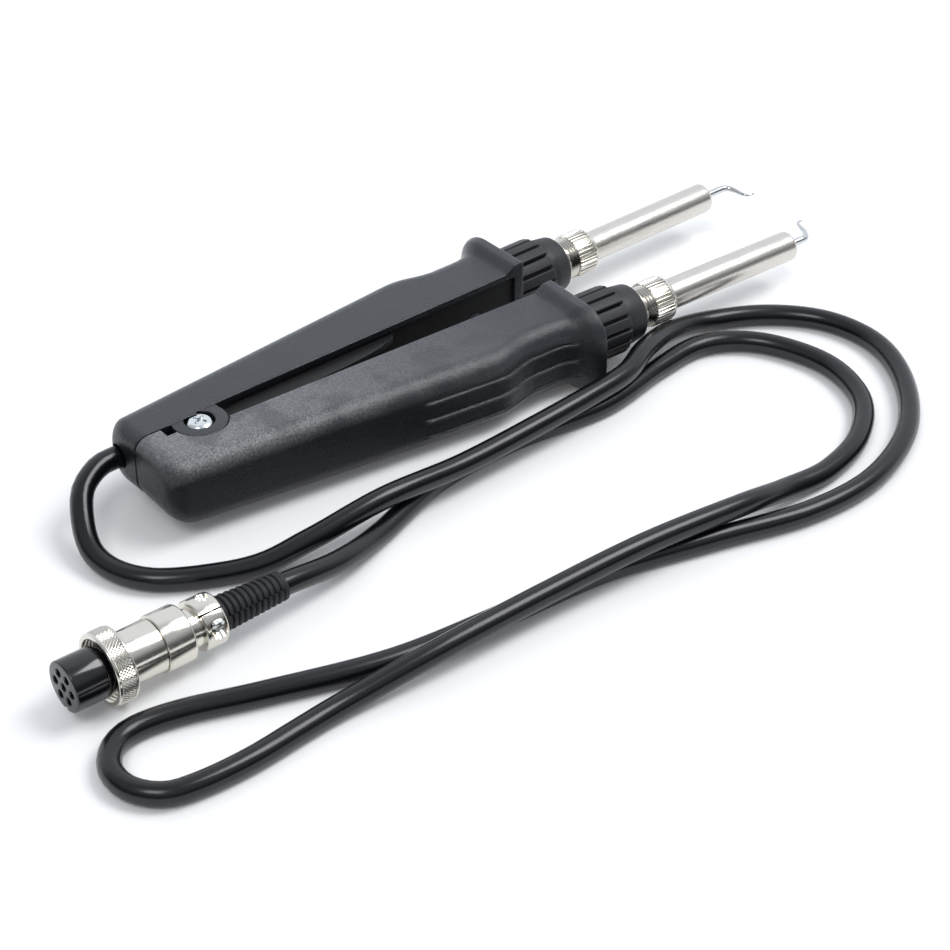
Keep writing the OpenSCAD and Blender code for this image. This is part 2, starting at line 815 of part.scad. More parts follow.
// Clamp behind the neck: one half belongs to the back shell, the other is pulled on by two screws
module clamp_place() {
    translate([plug_x + neck_end, plug_y, plug_z])
        rotate([-clamp_turn, 0, 0])
            children();
}
module along_x(rad, x0, x1) {
    translate([x0, 0, 0])
        rotate([0, 90, 0])
            cylinder(r = rad, h = x1 - x0);
}
module clamp_screw_axes() {
    for (s = [-1, 1]) {
        translate([(saddle_end - neck_end) / 2, s * clamp_screw_y, 0]) children();
    }
}
module clamp_ring(x0) {
    difference() {
        along_x(clamp_r, x0, saddle_end - neck_end - 0.4);
        along_x(sleeve_r + 0.02, x0 - 1, 20);
        clamp_screw_axes() {
            translate([0, 0, -10]) cylinder(r = clamp_screw_r + 0.05, h = 20, $fn = 32);
            translate([0, 0, -10]) cylinder(r = clamp_head_r + 0.2, h = 10 - clamp_head_z, $fn = 48);
            translate([0, 0, 4.3]) cylinder(r = clamp_screw_r + 0.6, h = 10, $fn = 48);
        }
    }
}
module plug_back_shell() {
    color("#d2cfc6") union() {
        plug_turned([[barrel_r - 2.4, barrel_end + 0.05], [back_r, barrel_end + 0.05],
            [back_r, back_end - 1],
            [back_r - 1, back_end], [neck_r, back_end], [neck_r, neck_end], [cord_d / 2 + 0.4, neck_end],
            [cord_d / 2 + 0.4, back_end - 1.6], [barrel_r - 2.4, back_end - 1.6]]);
        clamp_place() intersection() {
            clamp_ring(-0.5);
            translate([-5, -20, clamp_gap / 2]) cube([30, 40, 20]);
        }
    }
}
module plug_saddle() {
    color("#d2cfc6") clamp_place() intersection() {
        clamp_ring(0.05);
        translate([-5, -20, -20 - clamp_gap / 2]) cube([30, 40, 20]);
    }
}
module plug_screws() {
    color("#c2c4c4") clamp_place() clamp_screw_axes() difference() {
        union() {
            translate([0, 0, -clamp_head_z - 0.02])
                cylinder(r = clamp_screw_r, h = clamp_head_z + 4, $fn = 32);
            translate([0, 0, -clamp_head_z - 1.4]) cylinder(r = clamp_head_r, h = 1.38, $fn = 48);
        }
        translate([-3, -0.25, -clamp_head_z - 2]) cube([6, 0.5, 1.1]);
    }
}

// Ribbed boot round the cord behind the clamp
module plug_boot() {
    step = (boot_end - saddle_end - 1) / boot_ribs;
    color("#1a1b1d") plug_turned(concat(
        [[cord_d / 2 + 0.02, neck_end + 0.3], [sleeve_r, neck_end + 0.3], [sleeve_r, saddle_end - 0.2],
            [boot_d / 2, saddle_end - 0.2]],
        [
            for (i = [0:boot_ribs - 1], k = [0:3])
                [mix(boot_d / 2, cord_d / 2 + 0.9, i / boot_ribs) - (k < 2 ? 0 : 0.8),
                    saddle_end + 0.6 + step * (i + [0, 0.62, 0.63, 0.99][k])]
        ],
        [[cord_d / 2 + 0.9, boot_end - 0.4], [cord_d / 2 + 0.9, boot_end], [cord_d / 2 + 0.02, boot_end]]
    ));
}

far_shell();
far_cover();
far_cover_screws();
far_collar();
far_nipple();
far_nut();
far_tube();
far_tip();
far_heater();
far_board();
far_loom();
near_shell();
near_cover();
near_cover_screws();
near_collar();
near_nipple();
near_nut();
near_tube();
near_tip();
near_heater();
near_board();
near_loom();
pivot_screw();
pivot_nut();
pivot_bush();
return_spring();
jumper_lead();
cord_gland();
cord();
plug_insulator();
plug_contacts();
coupling_ring();
plug_barrel();
plug_back_shell();
plug_saddle();
plug_screws();
plug_boot();
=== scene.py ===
"""Hot tweezers with two heater arms, a cord and a round locking plug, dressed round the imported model."""

import math

import bmesh
import bpy
from mathutils import Matrix, Vector


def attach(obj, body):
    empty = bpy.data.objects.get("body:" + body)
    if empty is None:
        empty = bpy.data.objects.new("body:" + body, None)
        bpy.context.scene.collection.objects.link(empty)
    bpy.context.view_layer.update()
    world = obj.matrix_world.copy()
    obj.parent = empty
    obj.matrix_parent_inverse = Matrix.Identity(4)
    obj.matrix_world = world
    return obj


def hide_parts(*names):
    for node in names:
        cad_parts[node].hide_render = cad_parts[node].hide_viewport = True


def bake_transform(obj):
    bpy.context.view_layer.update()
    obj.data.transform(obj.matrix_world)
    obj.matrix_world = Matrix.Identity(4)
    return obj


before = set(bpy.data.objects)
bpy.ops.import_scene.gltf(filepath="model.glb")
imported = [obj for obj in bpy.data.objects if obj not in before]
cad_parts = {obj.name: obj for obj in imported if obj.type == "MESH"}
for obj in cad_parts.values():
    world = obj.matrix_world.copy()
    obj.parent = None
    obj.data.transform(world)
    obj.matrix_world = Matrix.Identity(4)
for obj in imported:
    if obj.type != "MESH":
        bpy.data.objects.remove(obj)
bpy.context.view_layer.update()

bl_info = {
    "name": "Hot tweezers",
    "version": (1, 0, 0),
    "blender": (4, 5, 0),
    "location": "3D View > Sidebar > Hot tweezers",
    "description": "Finished pieces, finishes and stage of a pair of hot tweezers",
    "category": "Object",
}

# Shapes are worked out in millimetres and become metres when a piece is settled in the frame.
MM = 0.001
SIDES = ((1, "far"), (-1, "near"))

# The arms: along x from the hinge axis, y out from the centre plane, z up from the table
PIVOT_X = -93.7267
OPEN_HALF = math.radians(1.5)
GRIP_LEN = 112.5
REAR_LEN = 18.5
LOW = 2.0
TOP = 24.0
MID = 13.0
GUARD_LIP = 2.1
HALF_GAP = 3.2
PIVOT_W = 17.9
KNEE_W = 24.4
WAIST_W = 21.6
GUARD_W = 28.5
KNEE_X = 80.0
WAIST_X = 92.0
FLARE_X = 98.0
FLARE_POWER = 1.9
LIP_X = 105.6
GUARD_X = 109.8
EDGE_R = 5.5
EDGE_TURN = 35
GUARD_R = 9.0
REAR_R = 4.5
REAR_TOP_R = 4.2
REAR_LOW_R = 7.7
RISE_X = 60.0
REAR_RISE = 1.6
RIM_R = 0.5
RIM_FLAT = 0.4
NOSE_R = 0.8
SPLIT_FAR = 2.35
SPLIT_NEAR = -2.05
GRIP_LINES = (17.5, 12.0, 6.7)
GRIP_FROM = 55.0
GRIP_TO = 107.0
WALL = 2.2
CAVITY_X = (13.0, 76.0, 100.5)
CAVITY_Z = (5.8, 20.2)

# The far arm's cover and the fin on it
COVER_X = (11.5, 109.3)
COVER_Z = (5.0, 22.2)
COVER_IN = HALF_GAP + 0.8
COVER_T = 1.8
COVER_PLAY = 0.1
COVER_SCREWS = (32.0, 95.5)
COVER_HOLE_R = 1.3
LOOM_HOLE = (17.5, 1.5)
FIN_BACK = 7.7
FIN_BEND = 42.0
FIN_REACH = 24.0
FIN_LAYERS = ((19.4, 0.0), (20.6, 0.0), (20.8, 0.1), (20.9, 0.3))

# The hinge, from the table up
EAR_R = 7.5
EAR_T = 4.2
EAR_DROP = 0.25
EAR_TIE = 7.1
KNUCKLE_R = 6.4
FOOT_R = 7.0
SHANK_HOLE_R = 1.6
BUSH_HOLE_R = 2.15
NUT_POCKET_R = 3.29
NUT_POCKET_Z = 3.1
GAP = 0.3
LOW_EAR = LOW + EAR_T
HIGH_EAR = TOP - EAR_T
KNUCKLE_Z = 10.425
HEAD_R = 3.6
HEAD_TOP = 23.8
HEAD_H = 1.9
PORT_Y = 11.2
PORT_Z = 14.5
PORT_R = 3.3
SPRING_R = 2.7
SPRING_Z = 6.95
SPRING_LEG = 21.0
SPRING_PITCH = 0.95
SPRING_WIRE = 0.4
PIVOT_PLACE = Matrix.Translation((PIVOT_X, 0, 0))

# The heater heads, along x from the hinge axis
AXIS_Y = 13.3
LEADS_X = 99.5
LEADS_R = 5.4
SEAT_X = 103.4
SEAT_R = 7.5
COLLAR_X = 103.5
COLLAR_STOP = 126.5
COLLAR_R = 8.1
RIB_X = GRIP_LEN + 0.02
RIB_END = 126.0
RIB_R = 10.0
COLLAR_END = 133.5
FLANGE_END = 134.8
THREAD_R = 5.6
NUT_X = 137.9
NUT_END = 145.9
NUT_R = 6.62
THREAD_END = 141.9
TUBE_END = 193.5
TUBE_R = 4.45
TUBE_BORE = 3.95
TIP_X = 206.5
TIP_Y = 5.0
TIP_R = (1.15, 0.32, 0.2)
TIP_BACK = 3.4
NEAR_LEAN = 1.6

# The plug, along x from its face
PLUG = (-168.0, -54.5, 9.6)
PLUG_PLACE = Matrix.Translation(PLUG)
SOCKET_CIRCLE = 3.63
RING_X = (9.6, 15.0)
RING_R = 9.15
KNURL_X = 10.55
KNURL_ROWS = 7
KNURL_LEN = 3.5
CLAMP_X = 35.6
CLAMP_END = 42.2
CLAMP_R = 6.7
CLAMP_TURN = math.radians(-56)
CLAMP_PLACE = Matrix.Translation((CLAMP_X, 0, 0)) @ Matrix.Rotation(CLAMP_TURN, 4, "X")
CLAMP_SCREW = (3.5, 5.0)
BOOT_END = 61.2
BOOT_TURN = math.radians(20)

# The cord's middle line
CORD_EXIT = (-108.5150, 10.8168, 14.5)
CORD_OUT = (-112.5136, 10.7121, 14.5)
BOOT_OUT = (-106.8, -54.5, 9.6)
CLAMP_IN = (-125.8, -54.5, 9.6)
CORD_STEP = 2.5

# The stage: the camera in degrees and metres, the way to the backdrop, and the floor's own share of white
VIEW_TURN, VIEW_RISE, VIEW_ROLL = 231.698, 35.609, -0.229
VIEW_AT = (-0.0332867, -0.03733, 0)
VIEW_AWAY = 0.6574
VIEW_LENS = 94.191
BACKDROP_WAY = (0.62, 0.785, 0.0)
FLOOR_REACH = 4000.0
FLOOR_LIFT = 0.06
LAMP_AIM = (-0.03, -0.04, 0)

# Names of the nodes that are used most
NOISE = "ShaderNodeTexNoise"
RANGE = "ShaderNodeMapRange"
MATH = "ShaderNodeMath"
MIX = "ShaderNodeMix"
PARTS = "ShaderNodeSeparateXYZ"
JOINED = "ShaderNodeCombineXYZ"
IN_COLOUR = {"data_type": "RGBA"}


def linear(code):
    """A colour written as sRGB hex, in linear light."""
    parts = [int(code[i:i + 2], 16) / 255 for i in (1, 3, 5)]
    return [c / 12.92 if c <= 0.04045 else ((c + 0.055) / 1.055) ** 2.4 for c in parts]


class TweezerSizes(bpy.types.PropertyGroup):
    """Sizes and counts of the repeated details"""

    cord_diameter: bpy.props.FloatProperty(
        name="Cord diameter", description="Across the cord's jacket", default=0.006, min=0.005,
        max=0.0062, unit="LENGTH")
    grip_line: bpy.props.FloatProperty(
        name="Grip groove depth", description="How deep the grip grooves go into an arm's side",
        default=0.00055, min=0, max=0.001, unit="LENGTH")
    collar_ribs: bpy.props.IntProperty(
        name="Collar ribs", description="Ribs round each heater collar", default=16, min=8, max=24)
    nut_teeth: bpy.props.IntProperty(
        name="Nut teeth", description="Teeth of the straight knurl on each clamp nut", default=36,
        min=20, max=60)
    thread_pitch: bpy.props.FloatProperty(
        name="Thread pitch", description="Advance of the clamp nut's thread for one turn",
        default=0.001, min=0.0005, max=0.0015, unit="LENGTH")
    ring_knurls: bpy.props.IntProperty(
        name="Ring knurls", description="Points of the diamond knurl round the coupling ring",
        default=66, min=30, max=90)
    boot_rows: bpy.props.IntProperty(
        name="Boot rows", description="Staggered half rings along the plug's boot", default=20,
        min=10, max=30)


class TweezerColours(bpy.types.PropertyGroup):
    """Colours of the finishes"""

    nylon: bpy.props.FloatVectorProperty(
        name="Arm nylon", description="Moulded arms", subtype="COLOR", size=3, default=linear("#17191d"))
    collar: bpy.props.FloatVectorProperty(
        name="Collar plastic", description="Heat-resistant collars", subtype="COLOR", size=3,
        default=linear("#232427"))
    jacket: bpy.props.FloatVectorProperty(
        name="Cord jacket", description="Jacket of the cord", subtype="COLOR", size=3,
        default=linear("#0a0c10"))
    nickel: bpy.props.FloatVectorProperty(
        name="Nickel", description="Plated brass parts", subtype="COLOR", size=3,
        default=linear("#dcd8cf"))
    steel: bpy.props.FloatVectorProperty(
        name="Stainless steel", description="Enclosure tubes", subtype="COLOR", size=3,
        default=linear("#d6d2cb"))


# Small helpers


def mix(a, b, t):
    return a + (b - a) * t


def smooth(t):
    t = min(max(t, 0.0), 1.0)
    return t * t * (3 - 2 * t)


def arc(start, end, steps):
    """Angles from start to end in degrees, as radians."""
    return [math.radians(mix(start, end, k / steps)) for k in range(steps + 1)]


def through(hand, count_of):
    """Points of one smooth curve through the given points, each with its share of the way."""
    p = [Vector(q) for q in hand]
    last = len(p) - 1
    for i in range(last):
        a, b, c, d = p[max(i - 1, 0)], p[i], p[i + 1], p[min(i + 2, last)]
        count = count_of((c - b).length)
        for k in range(count):
            t = k / count
            q = (b + (c - a) * (t / 2) + (2 * a - 5 * b + 4 * c - d) * (t * t / 2)
                 + (3 * b - a - 3 * c + d) * (t ** 3 / 2))
            yield q, (i + t) / last
    yield p[last], 1.0


def pattern_scale(size_mm):
    """Scale of a texture whose features are this many millimetres across."""
    return 1 / (size_mm * MM)


def add_node(tree, kind, settings=None, inputs=None):
    """Adds a node with its settings; an input is a constant or the socket that is linked to it."""
    node = tree.nodes.new(kind)
    for key, value in (settings or {}).items():
        setattr(node, key, value)
    for key, value in (inputs or {}).items():
        if isinstance(value, bpy.types.NodeSocket):
            tree.links.new(value, node.inputs[key])
        else:
            node.inputs[key].default_value = value
    return node


# Materials


def blank_material(name):
    material = bpy.data.materials.new(name)
    material.use_nodes = True
    tree = material.node_tree
    return material, tree, tree.nodes["Principled BSDF"]


def rgba(colour, gain=1.0):
    return (colour[0] * gain, colour[1] * gain, colour[2] * gain, 1.0)


def clothe(tree, shader, tint, gloss, height, depth_mm, strength=1.0):
    """Gives the shader its tint and gloss, and the height of a pattern as bump."""
    bump = add_node(
        tree, "ShaderNodeBump", None, {"Height": height, "Strength": strength, "Distance": depth_mm * MM})
    for key, socket in (("Base Color", tint), ("Roughness", gloss), ("Normal", bump.outputs["Normal"])):
        tree.links.new(socket, shader.inputs[key])


def worked(name, colour, rough, fine, fine_height, broad, spread, stretch=None, dust=0.0):
    """A fine pattern as bump and a broad one in shade, each of (mm, detail, roughness).

    Gloss follows the fine lines of metal and the broad patches of plastic.
    """
    material, tree, shader = blank_material(name)
    place = add_node(tree, "ShaderNodeTexCoord").outputs["Object"]
    drawn = place
    if stretch:
        drawn = add_node(tree, "ShaderNodeMapping", None, {"Vector": place, "Scale": stretch}).outputs["Vector"]
    grain, patches = [
        add_node(tree, NOISE, None, {
            "Vector": vector, "Scale": pattern_scale(size), "Detail": detail,
            "Roughness": harsh}).outputs["Fac"]
        for vector, (size, detail, harsh) in ((drawn, fine), (place, broad))]
    tint = add_node(
        tree, MIX, IN_COLOUR,
        {0: patches, 6: rgba(colour, 1 - spread), 7: rgba(colour, 1 + spread)}).outputs[2]
    if dust:
        specks = add_node(
            tree, RANGE, None,
            {"Value": grain, "From Min": 0.58, "From Max": 0.8, "To Min": 0.0, "To Max": dust})
        tint = add_node(
            tree, MIX, IN_COLOUR, {0: specks.outputs["Result"], 6: tint, 7: (0.35, 0.37, 0.4, 1.0)}).outputs[2]
    gloss = add_node(
        tree, RANGE, None, {
            "Value": grain if stretch else patches, "From Min": 0.3, "From Max": 0.7,
            "To Min": rough[0], "To Max": rough[1]})
    clothe(tree, shader, tint, gloss.outputs["Result"], grain, fine_height)
    return material, shader


def moulded(name, colour, rough, grain_mm, grain_height, patch_mm=9.0, patch=0.12, ior=1.5, dust=0.0):
    """Moulded plastic: a fine grain from the mould, and patches that differ a little in shade and gloss."""
    material, shader = worked(
        name, colour, rough, (grain_mm, 3.0, 0.6), grain_height, (patch_mm, 4.0, 0.55), patch, dust=dust)
    shader.inputs["IOR"].default_value = ior
    return material


def metal(name, colour, rough, stretch, line_mm, line_height):
    """Bare or plated metal: fine lines from its working along one direction, and faint stains."""
    material, shader = worked(
        name, colour, rough, (line_mm, 3.0, 0.6), line_height, (6.0, 3.0, 0.5), 0.06, stretch)
    shader.inputs["Metallic"].default_value = 1.0
    return material


def arm_skin(name, colour, sand):
    """Nylon from a spark-eroded mould: sandy at the hinge end, worn smooth towards the grips, with a painted
    sheen on top and on the grips.
    """
    material, tree, shader = blank_material(name)
    coordinates = add_node(tree, "ShaderNodeTexCoord").outputs
    place = coordinates["Object"]
    along = add_node(tree, PARTS, None, {"Vector": place}).outputs["X"]
    facing = add_node(tree, PARTS, None, {"Vector": coordinates["Normal"]}).outputs["Z"]
    patches, grain = [
        add_node(tree, NOISE, None, {
            "Vector": place, "Scale": pattern_scale(size), "Detail": detail, "Roughness": harsh}).outputs["Fac"]
        for size, detail, harsh in ((12.0, 4.0, 0.55), (0.52, 3.0, 0.7))]
    level = {}
    # Masks by facing and place: up-facing faces and the grips get a painted sheen, and the grip mask also
    # raises the specular level
    for key, value, low, high, start, end in (
            ("upward", facing, 0.05, 0.8, 0.0, 1.0),
            ("shine", facing, 0.0, 0.5, 0.2, 0.5),
            ("grip_gloss_and_painted_sheen", along, -0.05, 0.0, 0.0, 0.9),
            ("rear", along, -0.09, 0.0, sand, 0.06 * sand),
            ("worn", patches, 0.41, 0.53, 0.5, 1.0),
            ("crests", grain, 0.28, 0.72, 0.0, 1.0),
            ("gloss", patches, 0.3, 0.7, 0.22, 0.32)):
        level[key] = add_node(tree, RANGE, None, {
            "Value": value, "From Min": low, "From Max": high, "To Min": start,
            "To Max": end}).outputs["Result"]
    # The pale sandy grain crests are kept to up-facing faces, so they are partly wear and partly painted light
    for key, operation, a, b in (
            ("sandy", "MULTIPLY", "rear", "worn"),
            ("tops", "MULTIPLY", "crests", "sandy"),
            ("worn_crests_and_painted_light", "MULTIPLY", "tops", "upward"),
            ("painted_sheen", "MAXIMUM", "upward", "grip_gloss_and_painted_sheen"),
            ("bright", "MAXIMUM", "shine", "grip_gloss_and_painted_sheen")):
        level[key] = add_node(tree, MATH, {"operation": operation}, {0: level[a], 1: level[b]}).outputs[0]
    shine = add_node(tree, MATH, {"operation": "MINIMUM"}, {0: level["bright"], 1: 0.5})
    depth = add_node(tree, MATH, {"operation": "MULTIPLY_ADD"}, {0: level["sandy"], 1: 0.15, 2: 0.8})
    # Tint: random patches, then a painted sheen that lightens up-facing faces and the grips, then the pale
    # crests, partly wear and partly painted light
    tint = rgba(colour, 0.88)
    for share, over in (
            (patches, rgba(colour, 1.12)), (level["painted_sheen"], rgba(colour, 2.3)),
            (level["worn_crests_and_painted_light"], (0.28, 0.28, 0.29, 1.0))):
        tint = add_node(tree, MIX, IN_COLOUR, {0: share, 6: tint, 7: over}).outputs[2]
    clothe(tree, shader, tint, level["gloss"], grain, 0.18, depth.outputs[0])
    tree.links.new(shine.outputs[0], shader.inputs["Specular IOR Level"])
    shader.inputs["IOR"].default_value = 1.53
    return material


def make_materials(colours):
    """Every finish on the object, by the name that the pieces ask for."""
    even = (1.0, 1.0, 1.0)
    along_x = (0.04, 1.0, 1.0)
    return {
        # Spark-eroded mould: a matte charcoal skin whose grain glitters where the light grazes it, painted
        # lighter on top and at the grips as painted sheen
        "far_nylon": arm_skin("nylon_fine_grain", colours.nylon, 0.0),
        "near_nylon": arm_skin("nylon_spark_eroded", colours.nylon, 1.0),
        # Plates inside the gap: finer skin, nearly black, their own black made darker still as painted shade in
        # the gap
        "cover_nylon": moulded("nylon_fine_moulded_painted_dark", linear("#08090b"), (0.55, 0.62), 0.4, 0.012),
        # Heat-resistant collar: matte black with a dry, dusty skin
        "collar_plastic": moulded(
            "phenolic_matte_moulded", colours.collar, (0.45, 0.56), 0.5, 0.05, 5.0, 0.2, dust=0.1),
        # Plated turned brass: warm bright metal with faint turning lines
        "nickel_brass": metal("brass_nickel_plated", colours.nickel, (0.12, 0.2), even, 1.6, 0.0015),
        # Drawn tube: lengthwise lines that stretch the reflections
        "stainless": metal("stainless_drawn", colours.steel, (0.24, 0.34), along_x, 0.35, 0.0012),
        # Iron plating on a copper tip: cool and bright with a faint haze
        "plated_tip": metal("iron_plated_tip", linear("#cfd1d2"), (0.16, 0.26), even, 0.5, 0.002),
        # Zinc on a pressed screw: pale and bright with a slight haze
        "zinc_screw": metal("steel_zinc_plated", linear("#dfe3e4"), (0.14, 0.24), even, 0.7, 0.003),
        # Blackened steel: the dull grey of screws that stay hidden
        "screw_steel": metal("steel_blackened", linear("#8f9398"), (0.25, 0.35), even, 0.6, 0.003),
        # Spring wire: grey with drawing lines
        "spring_steel": metal("spring_steel_drawn", linear("#84898e"), (0.25, 0.35), along_x, 0.3, 0.002),
        # Sintered bronze bush: warm, slightly porous
        "bush_brass": metal("bronze_sintered", linear("#b8935a"), (0.35, 0.5), even, 0.3, 0.006),
        # Gilt contacts deep in the sockets: a yellow glint
        "contact_brass": metal("brass_gilt", linear("#d0a95a"), (0.2, 0.3), even, 0.5, 0.002),
        # Ceramic rod: chalky white, dry
        "alumina": moulded("alumina_sintered", linear("#e6e1d6"), (0.6, 0.75), 0.2, 0.01, 3.0, 0.04),
        # Paper laminate: brown with its fibres
        "board_laminate": moulded("laminate_paper", linear("#77602f"), (0.5, 0.6), 0.5, 0.01, 2.0, 0.15),
        # Wire jackets inside the arms: dull red silicone
        "wire_jacket": moulded("silicone_wire_jacket", linear("#9b3328"), (0.45, 0.55), 0.5, 0.006, 4.0, 0.08),
        # Cord jacket: extruded PVC, smooth with a slow orange peel
        "cord_pvc": moulded("pvc_extruded", colours.jacket, (0.2, 0.28), 2.4, 0.02, 20.0, 0.1),
        # Moulded rubber: matte, slightly dusty
        "rubber": moulded("rubber_matte_moulded", linear("#1b1c1f"), (0.55, 0.68), 0.4, 0.015, 5.0, 0.12),
        # Polished moulded insulator: black gloss with a soft waviness
        "insulator": moulded(
            "phenolic_polished", linear("#0d0e12"), (0.1, 0.16), 2.2, 0.004, 6.0, 0.08, ior=1.62),
    }


materials = {}


# Mesh making: a shape is a list of points in millimetres and a list of faces


def new_object(name, points, faces):
    mesh = bpy.data.meshes.new(name)
    mesh.from_pydata([tuple(p) for p in points], [], faces)
    work = bmesh.new()
    work.from_mesh(mesh)
    bmesh.ops.remove_doubles(work, verts=work.verts, dist=1e-4)
    bmesh.ops.recalc_face_normals(work, faces=work.faces)
    work.to_mesh(mesh)
    work.free()
    piece = bpy.data.objects.new(name, mesh)
    bpy.context.scene.collection.objects.link(piece)
    return piece


def loft(rings):
    """Skin of a row of closed rings with the same number of points, closed at both ends."""
    n = len(rings[0])
    faces = [
        (i * n + j, i * n + (j + 1) % n, (i + 1) * n + (j + 1) % n, (i + 1) * n + j)
        for i in range(len(rings) - 1) for j in range(n)]
    faces += [tuple(range(n)), tuple((len(rings) - 1) * n + j for j in range(n))]
    return [p for ring in rings for p in ring], faces


def wire(line):
    """Round wire along a nearly level line of points, each with the wire's radius there."""
    rings = []
    for i, (x, y, z, radius) in enumerate(line):
        back, ahead = line[max(i - 1, 0)], line[min(i + 1, len(line) - 1)]
        side = Vector((back[1] - ahead[1], ahead[0] - back[0])).normalized() * radius
        rings.append([
            (x + side.x * math.cos(a), y + side.y * math.cos(a), z + radius * math.sin(a))
            for a in arc(0, 345, 23)])
    return loft(rings)


def turned(profile, segments=96, upright=False):
    """Surface of revolution of a closed profile of (along, radius), about X or upright about Z."""
    points, rows = [], []
    for along, radius in profile:
        row = []
        for k in range(1 if radius < 1e-6 else segments):
            turn = 2 * math.pi * k / segments
            row.append(len(points))
            c, s = radius * math.cos(turn), radius * math.sin(turn)
            points.append((c, s, along) if upright else (along, c, s))
        rows.append(row)
    faces = []
    for i, row in enumerate(rows):
        after = rows[(i + 1) % len(rows)]
        if len(row) == 1 and len(after) == 1:
            continue
        for k in range(segments):
            corner = [
                row[k % len(row)], row[(k + 1) % len(row)], after[(k + 1) % len(after)], after[k % len(after)]]
            faces.append(tuple(dict.fromkeys(corner)))
    return points, faces


def rounded(profile, steps=4):
    """A closed profile of (along, radius, corner) with each corner off the axis rounded to its own size."""
    out = []
    n = len(profile)
    for i, (x, y, r) in enumerate(profile):
        p = Vector((x, y))
        a = Vector(profile[i - 1][:2]) - p
        b = Vector(profile[(i + 1) % n][:2]) - p
        half = 0.0
        if r > 0 and y >= 1e-6 and a.length >= 1e-6 and b.length >= 1e-6:
            half = a.angle(b) / 2
        if not 0 < half <= math.radians(88):
            out.append((x, y))
            continue
        reach = min(r / math.tan(half), 0.49 * a.length, 0.49 * b.length)
        r = reach * math.tan(half)
        centre = p + (a.normalized() + b.normalized()).normalized() * (r / math.sin(half))
        start = p + a.normalized() * reach - centre
        end = p + b.normalized() * reach - centre
        turn = start.angle_signed(end)
        for k in range(steps + 1):
            spoke = start.copy()
            spoke.rotate(Matrix.Rotation(-turn * k / steps, 2))
            out.append(tuple(centre + spoke))
    return out


def lathe(name, profile, steps=4, segments=96, upright=False):
    """A turned piece from a profile of (along, radius, corner)."""
    return new_object(name, *turned(rounded(profile, steps), segments, upright))


def prism(outline, z0, z1):
    """Upright block on a closed outline of (x, y)."""
    return loft([[(x, y, z0) for x, y in outline], [(x, y, z1) for x, y in outline]])


def box(x0, x1, y0, y1, z0, z1):
    return prism([(x0, y0), (x1, y0), (x1, y1), (x0, y1)], z0, z1)


def post(radius, z0, z1, lead=0.0, segments=96):
    """Upright round shape on the axis; lead widens it at its top end."""
    profile = [(z0, 0), (z0, radius), (z1 - lead, radius), (z1, radius + lead), (z1, 0)]
    return turned(profile if lead else profile[:3] + [(z1, 0)], segments, True)


def moved(shape, matrix):
    points, faces = shape
    return [matrix @ Vector(p) for p in points], faces


def bake(piece):
    """The piece as its modifiers leave it, as a plain mesh."""
    bpy.context.view_layer.update()
    seen = piece.evaluated_get(bpy.context.evaluated_depsgraph_get())
    mesh = bpy.data.meshes.new_from_object(seen)
    old = piece.data
    piece.modifiers.clear()
    piece.data = mesh
    bpy.data.meshes.remove(old)
    return piece


def drop(piece):
    mesh = piece.data
    bpy.data.objects.remove(piece)
    bpy.data.meshes.remove(mesh)


def taken(piece):
    """The shape of a piece that is dropped."""
    shape = ([v.co.copy() for v in piece.data.vertices], [tuple(f.vertices) for f in piece.data.polygons])
    drop(piece)
    return shape


def carve(piece, shapes, operation="DIFFERENCE"):
    """Cuts each shape out of the piece, or joins it on."""
    for shape in shapes:
        tool = new_object("tool", *shape)
        modifier = piece.modifiers.new("carve", "BOOLEAN")
        modifier.operation = operation
        modifier.solver = "EXACT"
        modifier.object = tool
        bake(piece)
        drop(tool)
    return piece


def settle(piece, finish, body, node, matrix, angle=32):
    """Puts a finished shape in its place in the frame, shades it, gives it its finish, hangs it on its body if
    it has one, and hides the solid it stands for.
    """
    place = Matrix.Scale(MM, 4) @ matrix
    piece.data.transform(place)
    if place.determinant() < 0:
        piece.data.flip_normals()
    piece.data.shade_smooth()
    piece.data.set_sharp_from_angle(angle=math.radians(angle))
    piece.data.materials.clear()
    piece.data.materials.append(materials[finish])
    if body:
        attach(piece, body)
    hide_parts(node)


def arm_place(side):
    """An arm's own frame in the whole frame; side is 1 for the far arm and -1 for the near one."""
    turn = Matrix.Rotation(side * OPEN_HALF, 4, "Z")
    flip = Matrix.Diagonal((1, side, 1, 1))
    return PIVOT_PLACE @ turn @ flip


def axis_place(side):
    """A heater axis in the frame."""
    return arm_place(side) @ Matrix.Translation((0, AXIS_Y, MID)) @ Matrix.Diagonal((1, side, 1, 1))


# Geometry node trees


def new_tree(name, sockets):
    tree = bpy.data.node_groups.new(name, "GeometryNodeTree")
    tree.interface.new_socket(name="Geometry", in_out="OUTPUT", socket_type="NodeSocketGeometry")
    for label, kind in {"Geometry": "Geometry", **sockets, "Body": "Object", "Finish": "Material"}.items():
        tree.interface.new_socket(name=label, in_out="INPUT", socket_type="NodeSocket" + kind)
    return tree, add_node(tree, "NodeGroupInput").outputs


def close_tree(tree, parts, sockets):
    """Joins the parts to the body they sit on and gives them the finish."""
    body = add_node(
        tree, "GeometryNodeObjectInfo", {"transform_space": "ORIGINAL"}, {"Object": sockets["Body"]})
    join = add_node(tree, "GeometryNodeJoinGeometry", None, {"Geometry": body.outputs["Geometry"]})
    tree.links.new(parts, join.inputs["Geometry"])
    real = add_node(tree, "GeometryNodeRealizeInstances", None, {"Geometry": join.outputs["Geometry"]})
    dress = add_node(
        tree, "GeometryNodeSetMaterial", None,
        {"Geometry": real.outputs["Geometry"], "Material": sockets["Finish"]})
    add_node(tree, "NodeGroupOutput", None, {"Geometry": dress.outputs["Geometry"]})
    return tree


